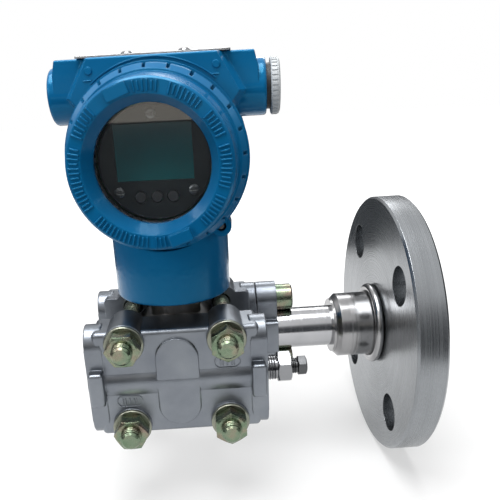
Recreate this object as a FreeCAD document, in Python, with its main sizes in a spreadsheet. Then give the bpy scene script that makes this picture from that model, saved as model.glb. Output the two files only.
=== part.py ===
"""Differential pressure transmitter with one flanged process connection.

The sizes are cells of the sheet Dims. Each piece is drawn about the middle of
the sensor cell, X towards the process flange, Y towards the rear and Z up, and
is then placed so that the origin is the middle of the process flange's seal face.
"""
import FreeCAD, Part
import Sketcher
import math
import os

os.makedirs("parts", exist_ok=True)
doc = FreeCAD.newDocument("transmitter")
vec = FreeCAD.Vector

DIMS = [
    # process flange, hub and tube
    ("disc_d", 155.6, "process flange outside diameter"),
    ("disc_pitch_d", 114.3, "bolt circle"),
    ("disc_hole_d", 22.2, "bolt hole"),
    ("disc_holes", 4, "number of bolt holes"),
    ("disc_turn", 41.5, "degrees from the near side up to the first hole"),
    ("disc_thick", 16.6, "thickness without the raised face"),
    ("disc_edge", 1.2, "edge chamfer"),
    ("seal_face_d", 73.0, "raised face diameter"),
    ("seal_face_h", 1.6, "raised face height"),
    ("membrane_r", 30.0, "recess for the seal membrane"),
    ("membrane_deep", 1.2, "depth of that recess"),
    ("membrane_thick", 0.35, "corrugated sheet"),
    ("disc_x", 121.8, "sensor middle to the disc's inner face"),
    ("hub_r", 19.6, "hub radius"),
    ("hub_x", 95.2, "sensor middle to the hub's left face"),
    ("hub_collar_r", 16.6, "collar where the tube is welded"),
    ("hub_collar_w", 1.5, "collar width"),
    ("hub_chamfer", 2.6, "chamfer at the hub's left end"),
    ("hub_line", 11.2, "hub's left face to its scribed line"),
    ("spigot_r", 16.0, "hub spigot inside the disc"),
    ("spigot_len", 8.0, "spigot length"),
    ("bead_r", 2.5, "weld bead section"),
    ("tube_r", 12.5, "extension tube radius"),
    ("tube_wall", 2.5, "extension tube wall"),
    ("fill_r", 1.6, "fill tube radius"),
    ("fill_bore", 0.6, "fill tube bore"),
    ("fit", 0.05, "radial play of a seated round piece"),
    ("run", 0.1, "radial play of a turning screw"),
    ("play", 0.3, "play between pieces that move"),
    # oval adapter and its screws
    ("port_gap", 54.0, "between the two process port axes"),
    ("adapter_pitch", 41.3, "between the adapter screws"),
    ("adapter_thick", 12.0, "adapter thickness"),
    ("adapter_block_y", 15.5, "half width of the adapter's middle"),
    ("adapter_block_z", 10.2, "half height of the adapter's middle"),
    ("joint_gap", 0.3, "gap at the adapter joint"),
    ("lobe_r", 10.3, "round ends of adapter and end faces"),
    ("gasket_r", 8.9, "adapter gasket outside radius"),
    ("gasket_bore", 6.3, "adapter gasket bore"),
    ("gasket_seat", 1.5, "depth of its recess"),
    ("cap_r", 8.0, "socket head radius"),
    ("cap_h", 10.0, "socket head height"),
    ("socket_af", 8.0, "hexagon socket"),
    ("screw_r", 5.0, "M10 screws and bolts"),
    ("tap_depth", 14.0, "tapped holes in the end faces"),
    # the two process flange castings
    ("end_x", 47.5, "half length"),
    ("plate_x", 43.0, "half length of the plate"),
    ("plate_z", 29.7, "half height"),
    ("inner_y", 16.0, "sensor middle to the clamped face"),
    ("plate_y", 37.0, "sensor middle to the outer face"),
    ("boss_y", 39.0, "sensor middle to the bolt seats"),
    ("boss_r", 10.4, "bolt bosses"),
    ("bolt_x", 26.3, "half of the bolt pattern's length"),
    ("bolt_z", 23.9, "half of the bolt pattern's height"),
    ("bolt_hole_r", 5.5, "clearance holes"),
    ("ridge_r", 11.7, "round ridge about the port axis"),
    ("pad_x", 11.2, "half width of the raised pad"),
    ("pad_z", 25.0, "half height of the raised pad"),
    ("pad_rise", 1.5, "height of the pad above the face"),
    ("end_block_x", 9.0, "length of the end blocks"),
    ("end_block_y", 16.3, "port axis to the front of an end block"),
    ("end_block_z", 9.4, "half height of that block"),
    ("nose_back", 1.4, "end face to the block behind it"),
    ("port_r", 5.8, "process port"),
    ("port_depth", 16.0, "port depth"),
    ("duct_r", 2.0, "duct from the ports to the chamber"),
    ("cast_round", 1.5, "cast edges"),
    # sensor cell and neck
    ("cell_r", 29.5, "cell radius"),
    ("isolator_r", 20.0, "isolating membranes"),
    ("isolator_seat", 0.6, "depth of their seats"),
    ("ring_in_r", 21.2, "cell gasket bore"),
    ("ring_out_r", 24.0, "cell gasket outside"),
    ("ring_seat", 1.5, "depth of the chamber and its gasket"),
    ("stem_r", 14.0, "cell neck below the thread"),
    ("stem_top", 41.0, "where the thread starts"),
    ("thread_r", 18.25, "neck thread"),
    ("thread_top", 64.0, "top of the neck"),
    ("neck_bore", 11.0, "cable bore of the neck"),
    # bolts, nuts, washers
    ("bolt_tip_y", 54.7, "sensor middle to the bolt tips"),
    ("hex_af", 16.0, "bolt heads and nuts"),
    ("nut_h", 8.2, "nut height"),
    ("head_h", 6.4, "bolt head height"),
    ("washer_r", 10.2, "washer radius"),
    ("washer_h", 2.0, "washer thickness"),
    ("tip_chamfer", 1.1, "chamfer of the bolt tips"),
    # vent valve and port plug
    ("vent_neck_r", 6.4, "vent body neck"),
    ("vent_neck_len", 5.7, "end face to the vent hexagon"),
    ("vent_af", 15.6, "vent hexagon"),
    ("vent_hex_len", 7.6, "length of that hexagon"),
    ("bleed_r", 3.9, "bleed screw"),
    ("bleed_out", 3.3, "bleed thread in view"),
    ("bleed_af", 9.8, "bleed screw hexagon"),
    ("bleed_hex_len", 5.3, "length of that hexagon"),
    ("vent_thread_len", 12.0, "vent body inside the port"),
    # housing casting
    ("barrel_z", 113.5, "height of the cover axis"),
    ("head_turn", -4.0, "degrees the housing is turned on its neck"),
    ("barrel_wall", 4.2, "wall round the cover bores"),
    ("barrel_y", 28.0, "sensor middle to the cover faces"),
    ("rim_w", 3.5, "width of the rim behind each cover"),
    ("front_room", 12.0, "sensor middle to the front room's floor"),
    ("rear_room", 6.0, "sensor middle back over the rear room's floor"),
    ("roof_over", 5.3, "roof above the barrel"),
    ("roof_x", 47.5, "half length of the roof"),
    ("roof_y", 22.0, "half depth of the roof block"),
    ("roof_front_x", 30.0, "half width of the roof block's front at the top"),
    ("slope_x", 49.3, "half length below the sloping corners"),
    ("slope_h", 7.5, "height of the sloping corners"),
    ("block_front_x", 40.0, "half width of the front beside the conduit axis"),
    ("conduit_under", 3.0, "roof to the top of the conduit bosses"),
    ("conduit_x", 53.2, "half distance between conduit faces"),
    ("conduit_r", 13.7, "conduit bosses"),
    ("conduit_bore", 9.2, "conduit entry radius"),
    ("conduit_depth", 20.0, "threaded length of an entry"),
    ("neck_r", 31.2, "housing neck radius"),
    ("neck_z", 40.0, "foot of the housing"),
    ("neck_room_z", 68.0, "top of the neck's bore"),
    ("cable_hole_r", 4.0, "hole from the neck to the front room"),
    ("lock_out", 1.45, "cover rim to the middle of the lock boss"),
    ("lock_r", 5.2, "cover lock boss radius"),
    ("small_r", 2.5, "M5 set screws"),
    ("set_screw_z", 52.0, "height of the housing's set screw"),
    # nameplate and buttons
    ("plate_half_x", 36.5, "nameplate half length"),
    ("plate_half_y", 18.0, "nameplate half width"),
    ("plate_thick", 0.9, "nameplate thickness"),
    ("plate_screw_x", 14.2, "half distance of its screws"),
    ("pin_r", 1.6, "nameplate screw shank"),
    ("pin_head_r", 3.3, "nameplate screw head"),
    ("pin_head_h", 1.9, "height of that head"),
    ("pin_deep", 6.0, "length in the roof"),
    ("button_in", 8.5, "end of the nameplate to a button"),
    ("button_y", 13.0, "sensor middle to the buttons"),
    ("button_r", 2.5, "button radius"),
    ("button_len", 7.4, "button length"),
    ("button_sunk", 0.5, "roof to button top"),
    ("spring_len", 5.6, "rubber spring under a button"),
    # covers
    ("cover_over", 1.4, "castellated skirt over the barrel"),
    ("cover_lip", 1.2, "lip over the skirt"),
    ("cover_lip_h", 2.0, "lip height"),
    ("skirt_h", 6.0, "seat to the end of the skirt's cylinder"),
    ("skirt_top", 10.0, "seat to the end of its slope"),
    ("skirt_slope", 2.6, "how far its slope runs in"),
    ("ring_step", 1.0, "step from there to the foot of the front ring"),
    ("cover_long", 28.5, "front cover, face to seat"),
    ("cover_short", 22.0, "rear cover, face to seat"),
    ("face_round", 1.0, "rounding of the front ring's edge"),
    ("band_w", 7.0, "width of the flat band"),
    ("cone_run", 3.6, "run of the cone inside the band"),
    ("window_r", 26.4, "clear window radius"),
    ("window_lip", 2.4, "lip that holds the glass"),
    ("window_sunk", 8.0, "band to lip"),
    ("glass_seat", 3.7, "glass over the clear window"),
    ("glass_thick", 6.0, "glass thickness"),
    ("glass_ring", 0.8, "gasket on the glass"),
    ("retainer_h", 3.0, "retaining ring"),
    ("retainer_rim", 3.1, "retaining ring over the glass"),
    ("thread_wall", 3.4, "wall of the cover thread"),
    ("thread_play", 0.4, "cover thread to its bore"),
    ("spigot_z", 10.0, "thread length"),
    ("oring_r", 1.0, "cover seal section"),
    ("notches", 24, "notches around the skirt"),
    ("notch_w", 1.5, "notch width"),
    ("lug_w", 10.4, "wrench lugs"),
    ("lug_rise", 2.4, "lug height above the band"),
    ("lug_turn", 110.0, "degrees from the right to the first lug"),
    # inside the front room
    ("bezel_in", 0.4, "clear window to the display bezel"),
    ("bezel_y", 38.0, "sensor middle to the bezel face"),
    ("bezel_thick", 3.0, "bezel thickness"),
    ("lcd_in", 1.25, "edge of the bezel to the display corners"),
    ("lcd_thick", 2.6, "display glass"),
    ("board_thick", 1.6, "circuit boards"),
    ("board_in", 2.2, "cover thread to the main board"),
    ("board_y", 22.0, "sensor middle to the main board's face"),
    ("post_r", 2.0, "standoffs"),
    ("post_in", 4.3, "edge of the bezel to the standoffs"),
    ("key_x", 7.6, "distance between the three keys"),
    ("key_gap", 0.6, "key to the board behind it"),
    ("key_r", 2.6, "key radius"),
    ("key_rise", 0.9, "key above the bezel"),
    # rear room
    ("block_in", 8.2, "cover thread to the terminal block"),
    ("block_thick", 14.0, "terminal block"),
    ("terminal_x", 11.0, "distance between terminals"),
    ("terminal_r", 3.6, "terminal screw heads"),
    ("ground_in", 5.7, "cover bore to the ground screw"),
    # conduit plug
    ("plug_head_r", 13.6, "plug head"),
    ("plug_head_h", 4.4, "plug head thickness"),
    ("plug_seal_r", 10.8, "plug seal"),
    ("plug_seal_h", 2.2, "plug seal thickness"),
]

sheet = doc.addObject("Spreadsheet::Sheet", "Dims")
for row, (alias, value, meaning) in enumerate(DIMS, 1):
    sheet.set(f"A{row}", alias)
    sheet.set(f"B{row}", str(value))
    sheet.set(f"C{row}", meaning)
    sheet.setAlias(f"B{row}", alias)
doc.recompute()


class Size:
    """A length held both as a number and as an expression of the sheet's cells."""

    def __init__(self, number, text):
        self.number = number
        self.text = text

    def __add__(self, other):
        other = as_size(other)
        return Size(self.number + other.number, f"({self.text} + {other.text})")

    def __sub__(self, other):
        other = as_size(other)
        return Size(self.number - other.number, f"({self.text} - {other.text})")

    def __mul__(self, other):
        other = as_size(other)
        return Size(self.number * other.number, f"({self.text} * {other.text})")

    def __truediv__(self, other):
        other = as_size(other)
        return Size(self.number / other.number, f"({self.text} / {other.text})")

    def __rsub__(self, other):
        return as_size(other) - self

    def __rtruediv__(self, other):
        return as_size(other) / self

    def __neg__(self):
        return Size(-self.number, f"(-1 * {self.text})")

    __radd__ = __add__
    __rmul__ = __mul__


def as_size(value):
    if isinstance(value, Size):
        return value
    return Size(float(value), f"({float(value)!r})")


class Sheet:
    """Gives each cell of the sheet by its alias."""

    def __getattr__(self, alias):
        return Size(float(sheet.get(alias)), f"Dims.{alias}")


dim = Sheet()

# ---- sizes of the housing and covers that follow from the window and each other -------
glass_r = dim.window_r + dim.glass_seat
spigot_in_r = glass_r + dim.retainer_rim
spigot_out_r = spigot_in_r + dim.thread_wall
bore_r = spigot_out_r + dim.thread_play
barrel_r = bore_r + dim.barrel_wall
cover_r = barrel_r + dim.cover_over
cover_lip_r = cover_r + dim.cover_lip
skirt_in_r = cover_r - dim.skirt_slope
ring_r = skirt_in_r - dim.ring_step
band_r = dim.window_r + dim.cone_run
face_r = band_r + dim.band_w
roof_z = dim.barrel_z + barrel_r + dim.roof_over
conduit_z = roof_z - dim.conduit_under - dim.conduit_r
lock_ring = cover_r + dim.lock_out
lock_x, lock_z = lock_ring * 0.6493, dim.barrel_z - lock_ring * 0.7605
button_x = dim.plate_half_x - dim.button_in
bezel_r = dim.window_r - dim.bezel_in
board_r = spigot_in_r - dim.board_in
block_r = spigot_in_r - dim.block_in
lcd_ring = bezel_r - dim.lcd_in
lcd_x, lcd_z, lcd_up = lcd_ring * 0.7192, lcd_ring * 0.5091, lcd_ring * 0.1859
key_down = lcd_ring * 0.6263
post_ring = bezel_r - dim.post_in
post_x, post_down = post_ring * 0.803, post_ring * 0.596
ground_ring = bore_r - dim.ground_in
ground_x, ground_down = ground_ring * 0.894, ground_ring * 0.447


def bind(target, name, value):
    target.setExpression(name, as_size(value).text)


FACING = {
    "+X": vec(1, 0, 0), "-X": vec(-1, 0, 0),
    "+Y": vec(0, 1, 0), "-Y": vec(0, -1, 0),
    "+Z": vec(0, 0, 1),
}


def place(target, x=0, y=0, z=0, facing="+Z", spin=0):
    """Turns a piece drawn about Z to face another way and puts it in its place."""
    turn = FreeCAD.Rotation(FACING["+Z"], FACING[facing])
    turn = turn.multiply(FreeCAD.Rotation(FACING["+Z"], as_size(spin).number))
    target.Placement = FreeCAD.Placement(vec(0, 0, 0), turn)
    for axis, value in zip("xyz", (x, y, z)):
        bind(target, f"Placement.Base.{axis}", value)
    return target


def cylinder(name, radius, length, x=0, y=0, z=0, facing="+Z"):
    solid = doc.addObject("Part::Cylinder", name)
    bind(solid, "Radius", radius)
    bind(solid, "Height", length)
    return place(solid, x, y, z, facing)


def block(name, low, high):
    """A box between two opposite corners, given in either order."""
    solid = doc.addObject("Part::Box", name)
    corner = []
    for side, first, last in zip(("Length", "Width", "Height"), low, high):
        first, last = as_size(first), as_size(last)
        if last.number < first.number:
            first, last = last, first
        bind(solid, side, last - first)
        corner.append(first)
    return place(solid, *corner)


def hexagon(name, across_flats, length, x=0, y=0, z=0, facing="+Z", spin=0):
    solid = doc.addObject("Part::Prism", name)
    solid.Polygon = 6
    bind(solid, "Circumradius", across_flats / math.sqrt(3))
    bind(solid, "Height", length)
    return place(solid, x, y, z, facing, spin)


def fuse(name, *parts):
    joined = doc.addObject("Part::MultiFuse", name)
    joined.Shapes = list(parts)
    joined.Refine = True
    return joined


def cut(name, base, *tools):
    result = doc.addObject("Part::Cut", name)
    result.Base = base
    result.Tool = tools[0] if len(tools) == 1 else fuse(name + "_tools", *tools)
    result.Refine = True
    return result


def common(name, first, second):
    result = doc.addObject("Part::MultiCommon", name)
    result.Shapes = [first, second]
    return result


def group(name, parts):
    joined = doc.addObject("Part::Compound", name)
    joined.Links = list(parts)
    return joined


def mirrored(name, source, normal):
    result = doc.addObject("Part::Mirroring", name)
    result.Source = source
    result.Base = vec(0, 0, 0)
    result.Normal = normal
    return result


def rounded(name, base, radius, wanted):
    """Rounds the edges of a solid for which wanted(edge) holds."""
    doc.recompute()
    result = doc.addObject("Part::Fillet", name)
    result.Base = base
    reach = as_size(radius).number
    result.Edges = [(number, reach, reach)
                    for number, edge in enumerate(base.Shape.Edges, 1) if wanted(edge)]
    return result


def plane(body, role):
    return [item for item in body.Origin.OriginFeatures if item.Role == role][0]


def draw(sketch, corners):
    """Draws a closed outline whose corners are held by the sheet's values."""
    corners = [(as_size(u), as_size(v)) for u, v in corners]
    count = len(corners)
    for number, (u, v) in enumerate(corners):
        nu, nv = corners[(number + 1) % count]
        sketch.addGeometry(Part.LineSegment(vec(u.number, v.number, 0), vec(nu.number, nv.number, 0)),
                           False)
    for number in range(count):
        sketch.addConstraint(Sketcher.Constraint("Coincident", number, 2, (number + 1) % count, 1))
    for number, (u, v) in enumerate(corners):
        for kind, value in (("DistanceX", u), ("DistanceY", v)):
            held = sketch.addConstraint(Sketcher.Constraint(kind, -1, 1, number, 1, value.number))
            bind(sketch, f"Constraints[{held}]", value)


def new_sketch(body, name, role, lift=0, spin=0):
    sketch = body.newObject("Sketcher::SketchObject", name)
    sketch.AttachmentSupport = [(plane(body, role), "")]
    sketch.MapMode = "FlatFace"
    turn = FreeCAD.Rotation(FACING["+Z"], as_size(spin).number)
    sketch.AttachmentOffset = FreeCAD.Placement(vec(0, 0, 0), turn)
    bind(sketch, "AttachmentOffset.Base.z", lift)
    return sketch


def turned(name, outline):
    """A body turned about Z from an outline of (radius, height) corners."""
    body = doc.addObject("PartDesign::Body", name)
    profile = new_sketch(body, name + "_profile", "XZ_Plane")
    draw(profile, outline)
    spun = body.newObject("PartDesign::Revolution", name + "_turned")
    spun.Profile = profile
    spun.ReferenceAxis = (profile, ["V_Axis"])
    spun.Angle = 360
    return body


def pad(body, name, outline, low, high, spin=0):
    """Adds a flat outline in X and Y to a body, between two heights."""
    sketch = new_sketch(body, name + "_outline", "XY_Plane", low, spin)
    draw(sketch, outline)
    raised = body.newObject("PartDesign::Pad", name)
    raised.Profile = sketch
    bind(raised, "Length", as_size(high) - low)
    return raised


def pocket(body, name, outline, low, high, spin=0):
    """Cuts a flat outline in X and Y out of a body, between two heights."""
    sketch = new_sketch(body, name + "_outline", "XY_Plane", high, spin)
    draw(sketch, outline)
    hollow = body.newObject("PartDesign::Pocket", name)
    hollow.Profile = sketch
    bind(hollow, "Length", as_size(high) - low)
    return hollow


def repeat_round(body, name, feature, count):
    pattern = body.newObject("PartDesign::PolarPattern", name)
    pattern.Originals = [feature]
    pattern.Axis = (plane(body, "Z_Axis"), [""])
    pattern.Angle = 360
    bind(pattern, "Occurrences", count)
    body.Tip = pattern
    return pattern


def square(left, right, half):
    return [(left, -half), (right, -half), (right, half), (left, half)]


nodes = []


def node(label, piece, x=0, y=0, z=0, facing="+Z", spin=0):
    """Names a finished piece and places it from the process flange's seal face."""
    piece.Label = label
    seal_x = dim.disc_x + dim.disc_thick + dim.seal_face_h
    place(piece, as_size(x) - seal_x, as_size(y) - dim.port_gap / 2, z, facing, spin)
    nodes.append(piece)
    return piece


def head_node(label, piece, x=0, y=0, z=0, facing="+Z", spin=0):
    """A node of the housing, turned with it about the neck's axis."""
    x, y, turn = as_size(x), as_size(y), dim.head_turn
    cosine = Size(math.cos(math.radians(turn.number)), f"cos({turn.text})")
    sine = Size(math.sin(math.radians(turn.number)), f"sin({turn.text})")
    node(label, piece, x * cosine - y * sine, x * sine + y * cosine, z, facing, spin)
    turned_by = FreeCAD.Rotation(FACING["+Z"], turn.number)
    piece.Placement = FreeCAD.Placement(piece.Placement.Base, turned_by.multiply(piece.Placement.Rotation))
    return piece


port_y = dim.port_gap / 2
pitch_z = dim.adapter_pitch / 2

# ---- process flange: turned disc, raised face, recess for the membrane ----------
recess_z = dim.disc_thick + dim.seal_face_h - dim.membrane_deep
disc_r = dim.disc_d / 2
bore = dim.fill_r + dim.fit
disc = turned("disc", [
    (dim.spigot_r + dim.fit, 0), (disc_r - dim.disc_edge, 0), (disc_r, dim.disc_edge),
    (disc_r, dim.disc_thick - dim.disc_edge), (disc_r - dim.disc_edge, dim.disc_thick),
    (dim.seal_face_d / 2, dim.disc_thick),
    (dim.seal_face_d / 2, dim.disc_thick + dim.seal_face_h),
    (dim.membrane_r, dim.disc_thick + dim.seal_face_h), (dim.membrane_r, recess_z),
    (bore, recess_z), (bore, dim.spigot_len), (dim.spigot_r + dim.fit, dim.spigot_len),
])
hole_sketch = new_sketch(disc, "bolt_hole_outline", "XY_Plane", 0, -dim.disc_turn)
hole_sketch.addGeometry(Part.Circle(vec(0, -dim.disc_pitch_d.number / 2, 0), vec(0, 0, 1), 1), False)
hole_sketch.addConstraint(Sketcher.Constraint("PointOnObject", 0, 3, -2))
held = hole_sketch.addConstraint(Sketcher.Constraint("DistanceY", -1, 1, 0, 3,
                                                     -dim.disc_pitch_d.number / 2))
bind(hole_sketch, f"Constraints[{held}]", -dim.disc_pitch_d / 2)
held = hole_sketch.addConstraint(Sketcher.Constraint("Radius", 0, 1.0))
bind(hole_sketch, f"Constraints[{held}]", dim.disc_hole_d / 2)
bolt_hole = disc.newObject("PartDesign::Pocket", "bolt_hole")
bolt_hole.Profile = hole_sketch
bolt_hole.Reversed = True
bind(bolt_hole, "Length", dim.disc_thick)
repeat_round(disc, "bolt_holes", bolt_hole, dim.disc_holes)
node("process_flange", disc, dim.disc_x, port_y, 0, "+X")

# ---- hub between the tube and the disc, with the weld bead ----------------------
hub_len = dim.disc_x - dim.hub_x
line_deep = 0.35
hub = turned("hub", [
    (bore, -dim.hub_collar_w), (dim.hub_collar_r, -dim.hub_collar_w), (dim.hub_collar_r, 0),
    (dim.hub_r - dim.hub_chamfer, 0), (dim.hub_r, dim.hub_chamfer), (dim.hub_r, dim.hub_line),
    (dim.hub_r - line_deep, dim.hub_line), (dim.hub_r - line_deep, dim.hub_line + 2 * line_deep),
    (dim.hub_r, dim.hub_line + 2 * line_deep), (dim.hub_r, hub_len), (dim.spigot_r, hub_len),
    (dim.spigot_r, hub_len + dim.spigot_len), (bore, hub_len + dim.spigot_len),
])
bead = hub.newObject("PartDesign::AdditiveTorus", "weld_bead")
bind(bead, "Radius1", dim.hub_r + dim.bead_r)
bind(bead, "Radius2", dim.bead_r)
bead.AttachmentSupport = [(plane(hub, "XY_Plane"), "")]
bead.MapMode = "FlatFace"
bind(bead, "AttachmentOffset.Base.z", hub_len - dim.bead_r)
node("seal_hub", hub, dim.hub_x, port_y, 0, "+X")

# ---- extension tube and the thin oil tube inside it ------------------------------
adapter_x = dim.end_x + dim.joint_gap + dim.adapter_thick
tube_len = dim.hub_x - dim.hub_collar_w - adapter_x
node("extension_tube", turned("tube", [
    (dim.tube_r - dim.tube_wall, 0), (dim.tube_r, 0), (dim.tube_r, tube_len),
    (dim.tube_r - dim.tube_wall, tube_len),
]), adapter_x, port_y, 0, "+X")
web = 4.0
fill_len = dim.disc_x + recess_z - adapter_x + web
node("fill_tube", turned("oil_tube", [
    (dim.fill_bore, 0), (dim.fill_r, 0), (dim.fill_r, fill_len), (dim.fill_bore, fill_len),
]), adapter_x - web, port_y, 0, "+X")


def corrugated(name, radius, rim, thick, waves, swing):
    """A thin round membrane with rings of waves and a flat rim of given width."""
    top = [(0, thick + swing)]
    step = (radius - rim) / (4 * waves)
    for wave in range(waves):
        for quarter, rise in ((1, 1), (2, 0), (3, 0), (4, 1)):
            lift = swing * rise if wave < waves - 1 or quarter < 4 else swing * 0
            top.append((step * (4 * wave + quarter), thick + lift))
    bottom = [(r, h - thick) for r, h in reversed(top)]
    return turned(name, top + [(radius, thick), (radius, 0)] + bottom)


node("seal_diaphragm", corrugated("membrane", dim.membrane_r - dim.fit, 4.0, dim.membrane_thick, 4, 0.45),
     dim.disc_x + recess_z, port_y, 0, "+X")

# ---- oval adapter, its gasket and its two socket head screws ---------------------
joint_x = dim.end_x + dim.joint_gap
lobes = [cylinder(f"adapter_lobe_{n}", dim.lobe_r, dim.adapter_thick, joint_x, port_y, side * pitch_z, "+X")
         for n, side in enumerate((1, -1))]
waist = block("adapter_waist", (joint_x, port_y - dim.lobe_r, -pitch_z),
              (adapter_x, port_y + dim.lobe_r, pitch_z))
middle = block("adapter_middle", (joint_x, port_y - dim.adapter_block_y, -dim.adapter_block_z),
               (adapter_x, port_y + dim.adapter_block_y, dim.adapter_block_z))


def along_x(edge):
    """Straight edges that run along X."""
    direction = edge.tangentAt(edge.FirstParameter)
    return edge.Curve.TypeId == "Part::GeomLine" and abs(direction.x) > 0.99


def middle_corner(edge):
    offset = abs(edge.CenterOfMass.y - port_y.number)
    return along_x(edge) and offset > dim.lobe_r.number + 1


outline = rounded("adapter_outline", fuse("adapter_blank", waist, middle, *lobes), 1.8, middle_corner)
screw_holes = [cylinder(f"adapter_hole_{n}", dim.bolt_hole_r, dim.adapter_thick, joint_x, port_y,
                        side * pitch_z, "+X") for n, side in enumerate((1, -1))]
gasket_seat = cylinder("gasket_recess", dim.gasket_r + dim.fit, dim.gasket_seat, joint_x, port_y, 0, "+X")
oil_room = cylinder("oil_room", dim.port_r, dim.adapter_thick - web, joint_x, port_y, 0, "+X")
oil_hole = cylinder("oil_hole", bore, dim.adapter_thick, joint_x, port_y, 0, "+X")
adapter = cut("adapter", outline, gasket_seat, oil_room, oil_hole, *screw_holes)
node("oval_adapter", adapter)
node("adapter_gasket", turned("gasket", [
    (dim.gasket_bore, 0), (dim.gasket_r, 0), (dim.gasket_r, dim.gasket_seat + dim.joint_gap),
    (dim.gasket_bore, dim.gasket_seat + dim.joint_gap),
]), dim.end_x, port_y, 0, "+X")
cap_edge = 0.8
screw_in = dim.adapter_thick + dim.joint_gap + dim.tap_depth - 1
adapter_screws = []
for n, side in enumerate((1, -1)):
    blank = turned(f"cap_screw_{n}", [
        (0, -screw_in), (dim.screw_r - cap_edge, -screw_in), (dim.screw_r, cap_edge - screw_in),
        (dim.screw_r, 0), (dim.cap_r, 0), (dim.cap_r, dim.cap_h - cap_edge),
        (dim.cap_r - cap_edge, dim.cap_h), (0, dim.cap_h),
    ])
    place(blank, adapter_x, port_y, side * pitch_z, "+X")
    socket = hexagon(f"cap_socket_{n}", dim.socket_af, dim.cap_h / 2, adapter_x + dim.cap_h / 2, port_y,
                     side * pitch_z, "+X")
    adapter_screws.append(cut(f"cap_screw_cut_{n}", blank, socket))
node("adapter_screws", group("adapter_screw_pair", adapter_screws))

# ---- the two process flange castings, one the mirror image of the other -------------
chamber_r = dim.ring_out_r + dim.fit


def casting(name, side):
    """One process flange; side is -1 for the near one and 1 for the far one."""
    inner, face, seat = side * dim.inner_y, side * dim.plate_y, side * dim.boss_y
    axis = side * port_y
    outward = "-Y" if side < 0 else "+Y"
    whole = dim.boss_y - dim.inner_y

    def outer_edge(edge):
        """Edges at the outer face or along the corners of a block."""
        away = abs(edge.CenterOfMass.y) - dim.inner_y.number
        return away > 0.5

    plate = rounded(name + "_plate", block(
        name + "_plate_block", (-dim.plate_x, inner, -dim.plate_z), (dim.plate_x, face, dim.plate_z)),
        dim.cast_round * 1.6, outer_edge)
    shapes = [plate]
    for x in (-dim.bolt_x, dim.bolt_x):
        for z in (-dim.bolt_z, dim.bolt_z):
            boss = cylinder(f"{name}_boss", dim.boss_r, whole, x, inner, z, outward)
            shapes.append(rounded(f"{name}_boss_top", boss, 0.8, lambda edge: outer_edge(edge)
                                  and edge.BoundBox.YLength < 0.01))
    ridge = cylinder(f"{name}_ridge", dim.ridge_r, dim.end_x * 2, -dim.end_x, axis, 0, "+X")
    shapes.append(rounded(f"{name}_ridge_ends", ridge, 0.8, lambda edge: edge.BoundBox.XLength < 0.01))
    top = side * (dim.plate_y + dim.pad_rise)
    straight = dim.pad_z - dim.pad_x
    pads = [block(f"{name}_pad", (-dim.pad_x, inner, -straight), (dim.pad_x, top, straight))]
    for z in (-straight, straight):
        pads.append(cylinder(f"{name}_pad_end", dim.pad_x, dim.plate_y + dim.pad_rise - dim.inner_y,
                             0, inner, z, outward))
    shapes.append(rounded(f"{name}_pad_top", fuse(f"{name}_pad_blank", *pads), 0.6, lambda edge:
                          outer_edge(edge) and edge.BoundBox.YLength < 0.01))
    for end in (-1, 1):
        tip, root = end * dim.end_x, end * (dim.end_x - dim.end_block_x)
        for z in (-pitch_z, pitch_z):
            start = tip if end < 0 else root
            lobe = cylinder(f"{name}_lobe", dim.lobe_r, dim.end_block_x, start, axis, z, "+X")
            shapes.append(rounded(f"{name}_lobe_edge", lobe, 0.8,
                                  lambda edge: edge.BoundBox.XLength < 0.01))
        shapes.append(block(f"{name}_waist", (root, axis - dim.lobe_r, -pitch_z),
                            (tip, axis + dim.lobe_r, pitch_z)))
        nose = block(f"{name}_nose", (root, inner, -dim.end_block_z),
                     (tip - end * dim.nose_back, axis + side * dim.end_block_y, dim.end_block_z))
        shapes.append(rounded(f"{name}_nose_round", nose, dim.cast_round, outer_edge))
    tools = [block(f"{name}_clamped_side", (-dim.plate_x * 2, 0, -dim.plate_z * 2),
                   (dim.plate_x * 2, inner, dim.plate_z * 2))]
    tools.append(cylinder(f"{name}_chamber", chamber_r, dim.ring_seat, 0, inner, 0, outward))
    tools.append(cylinder(f"{name}_chamber_duct", dim.duct_r * 0.8, port_y - dim.inner_y, 0, inner, 0,
                          outward))
    tools.append(cylinder(f"{name}_port_duct", dim.duct_r, dim.end_x * 2, -dim.end_x, axis, 0, "+X"))
    for x in (-dim.bolt_x, dim.bolt_x):
        for z in (-dim.bolt_z, dim.bolt_z):
            tools.append(cylinder(f"{name}_bolt_hole", dim.bolt_hole_r, whole, x, inner, z, outward))
    for end in (-1, 1):
        tip = end * dim.end_x
        heading = "-X" if end > 0 else "+X"
        tools.append(cylinder(f"{name}_port", dim.port_r, dim.port_depth, tip, axis, 0, heading))
        for z in (-pitch_z, pitch_z):
            tools.append(cylinder(f"{name}_tapped", dim.screw_r + dim.fit, dim.tap_depth, tip, axis, z,
                                  heading))
    return cut(name, fuse(name + "_blank", *shapes), *tools)


node("front_process_flange", casting("near_casting", -1))
node("rear_process_flange", casting("far_casting", -1), spin=180)

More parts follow.
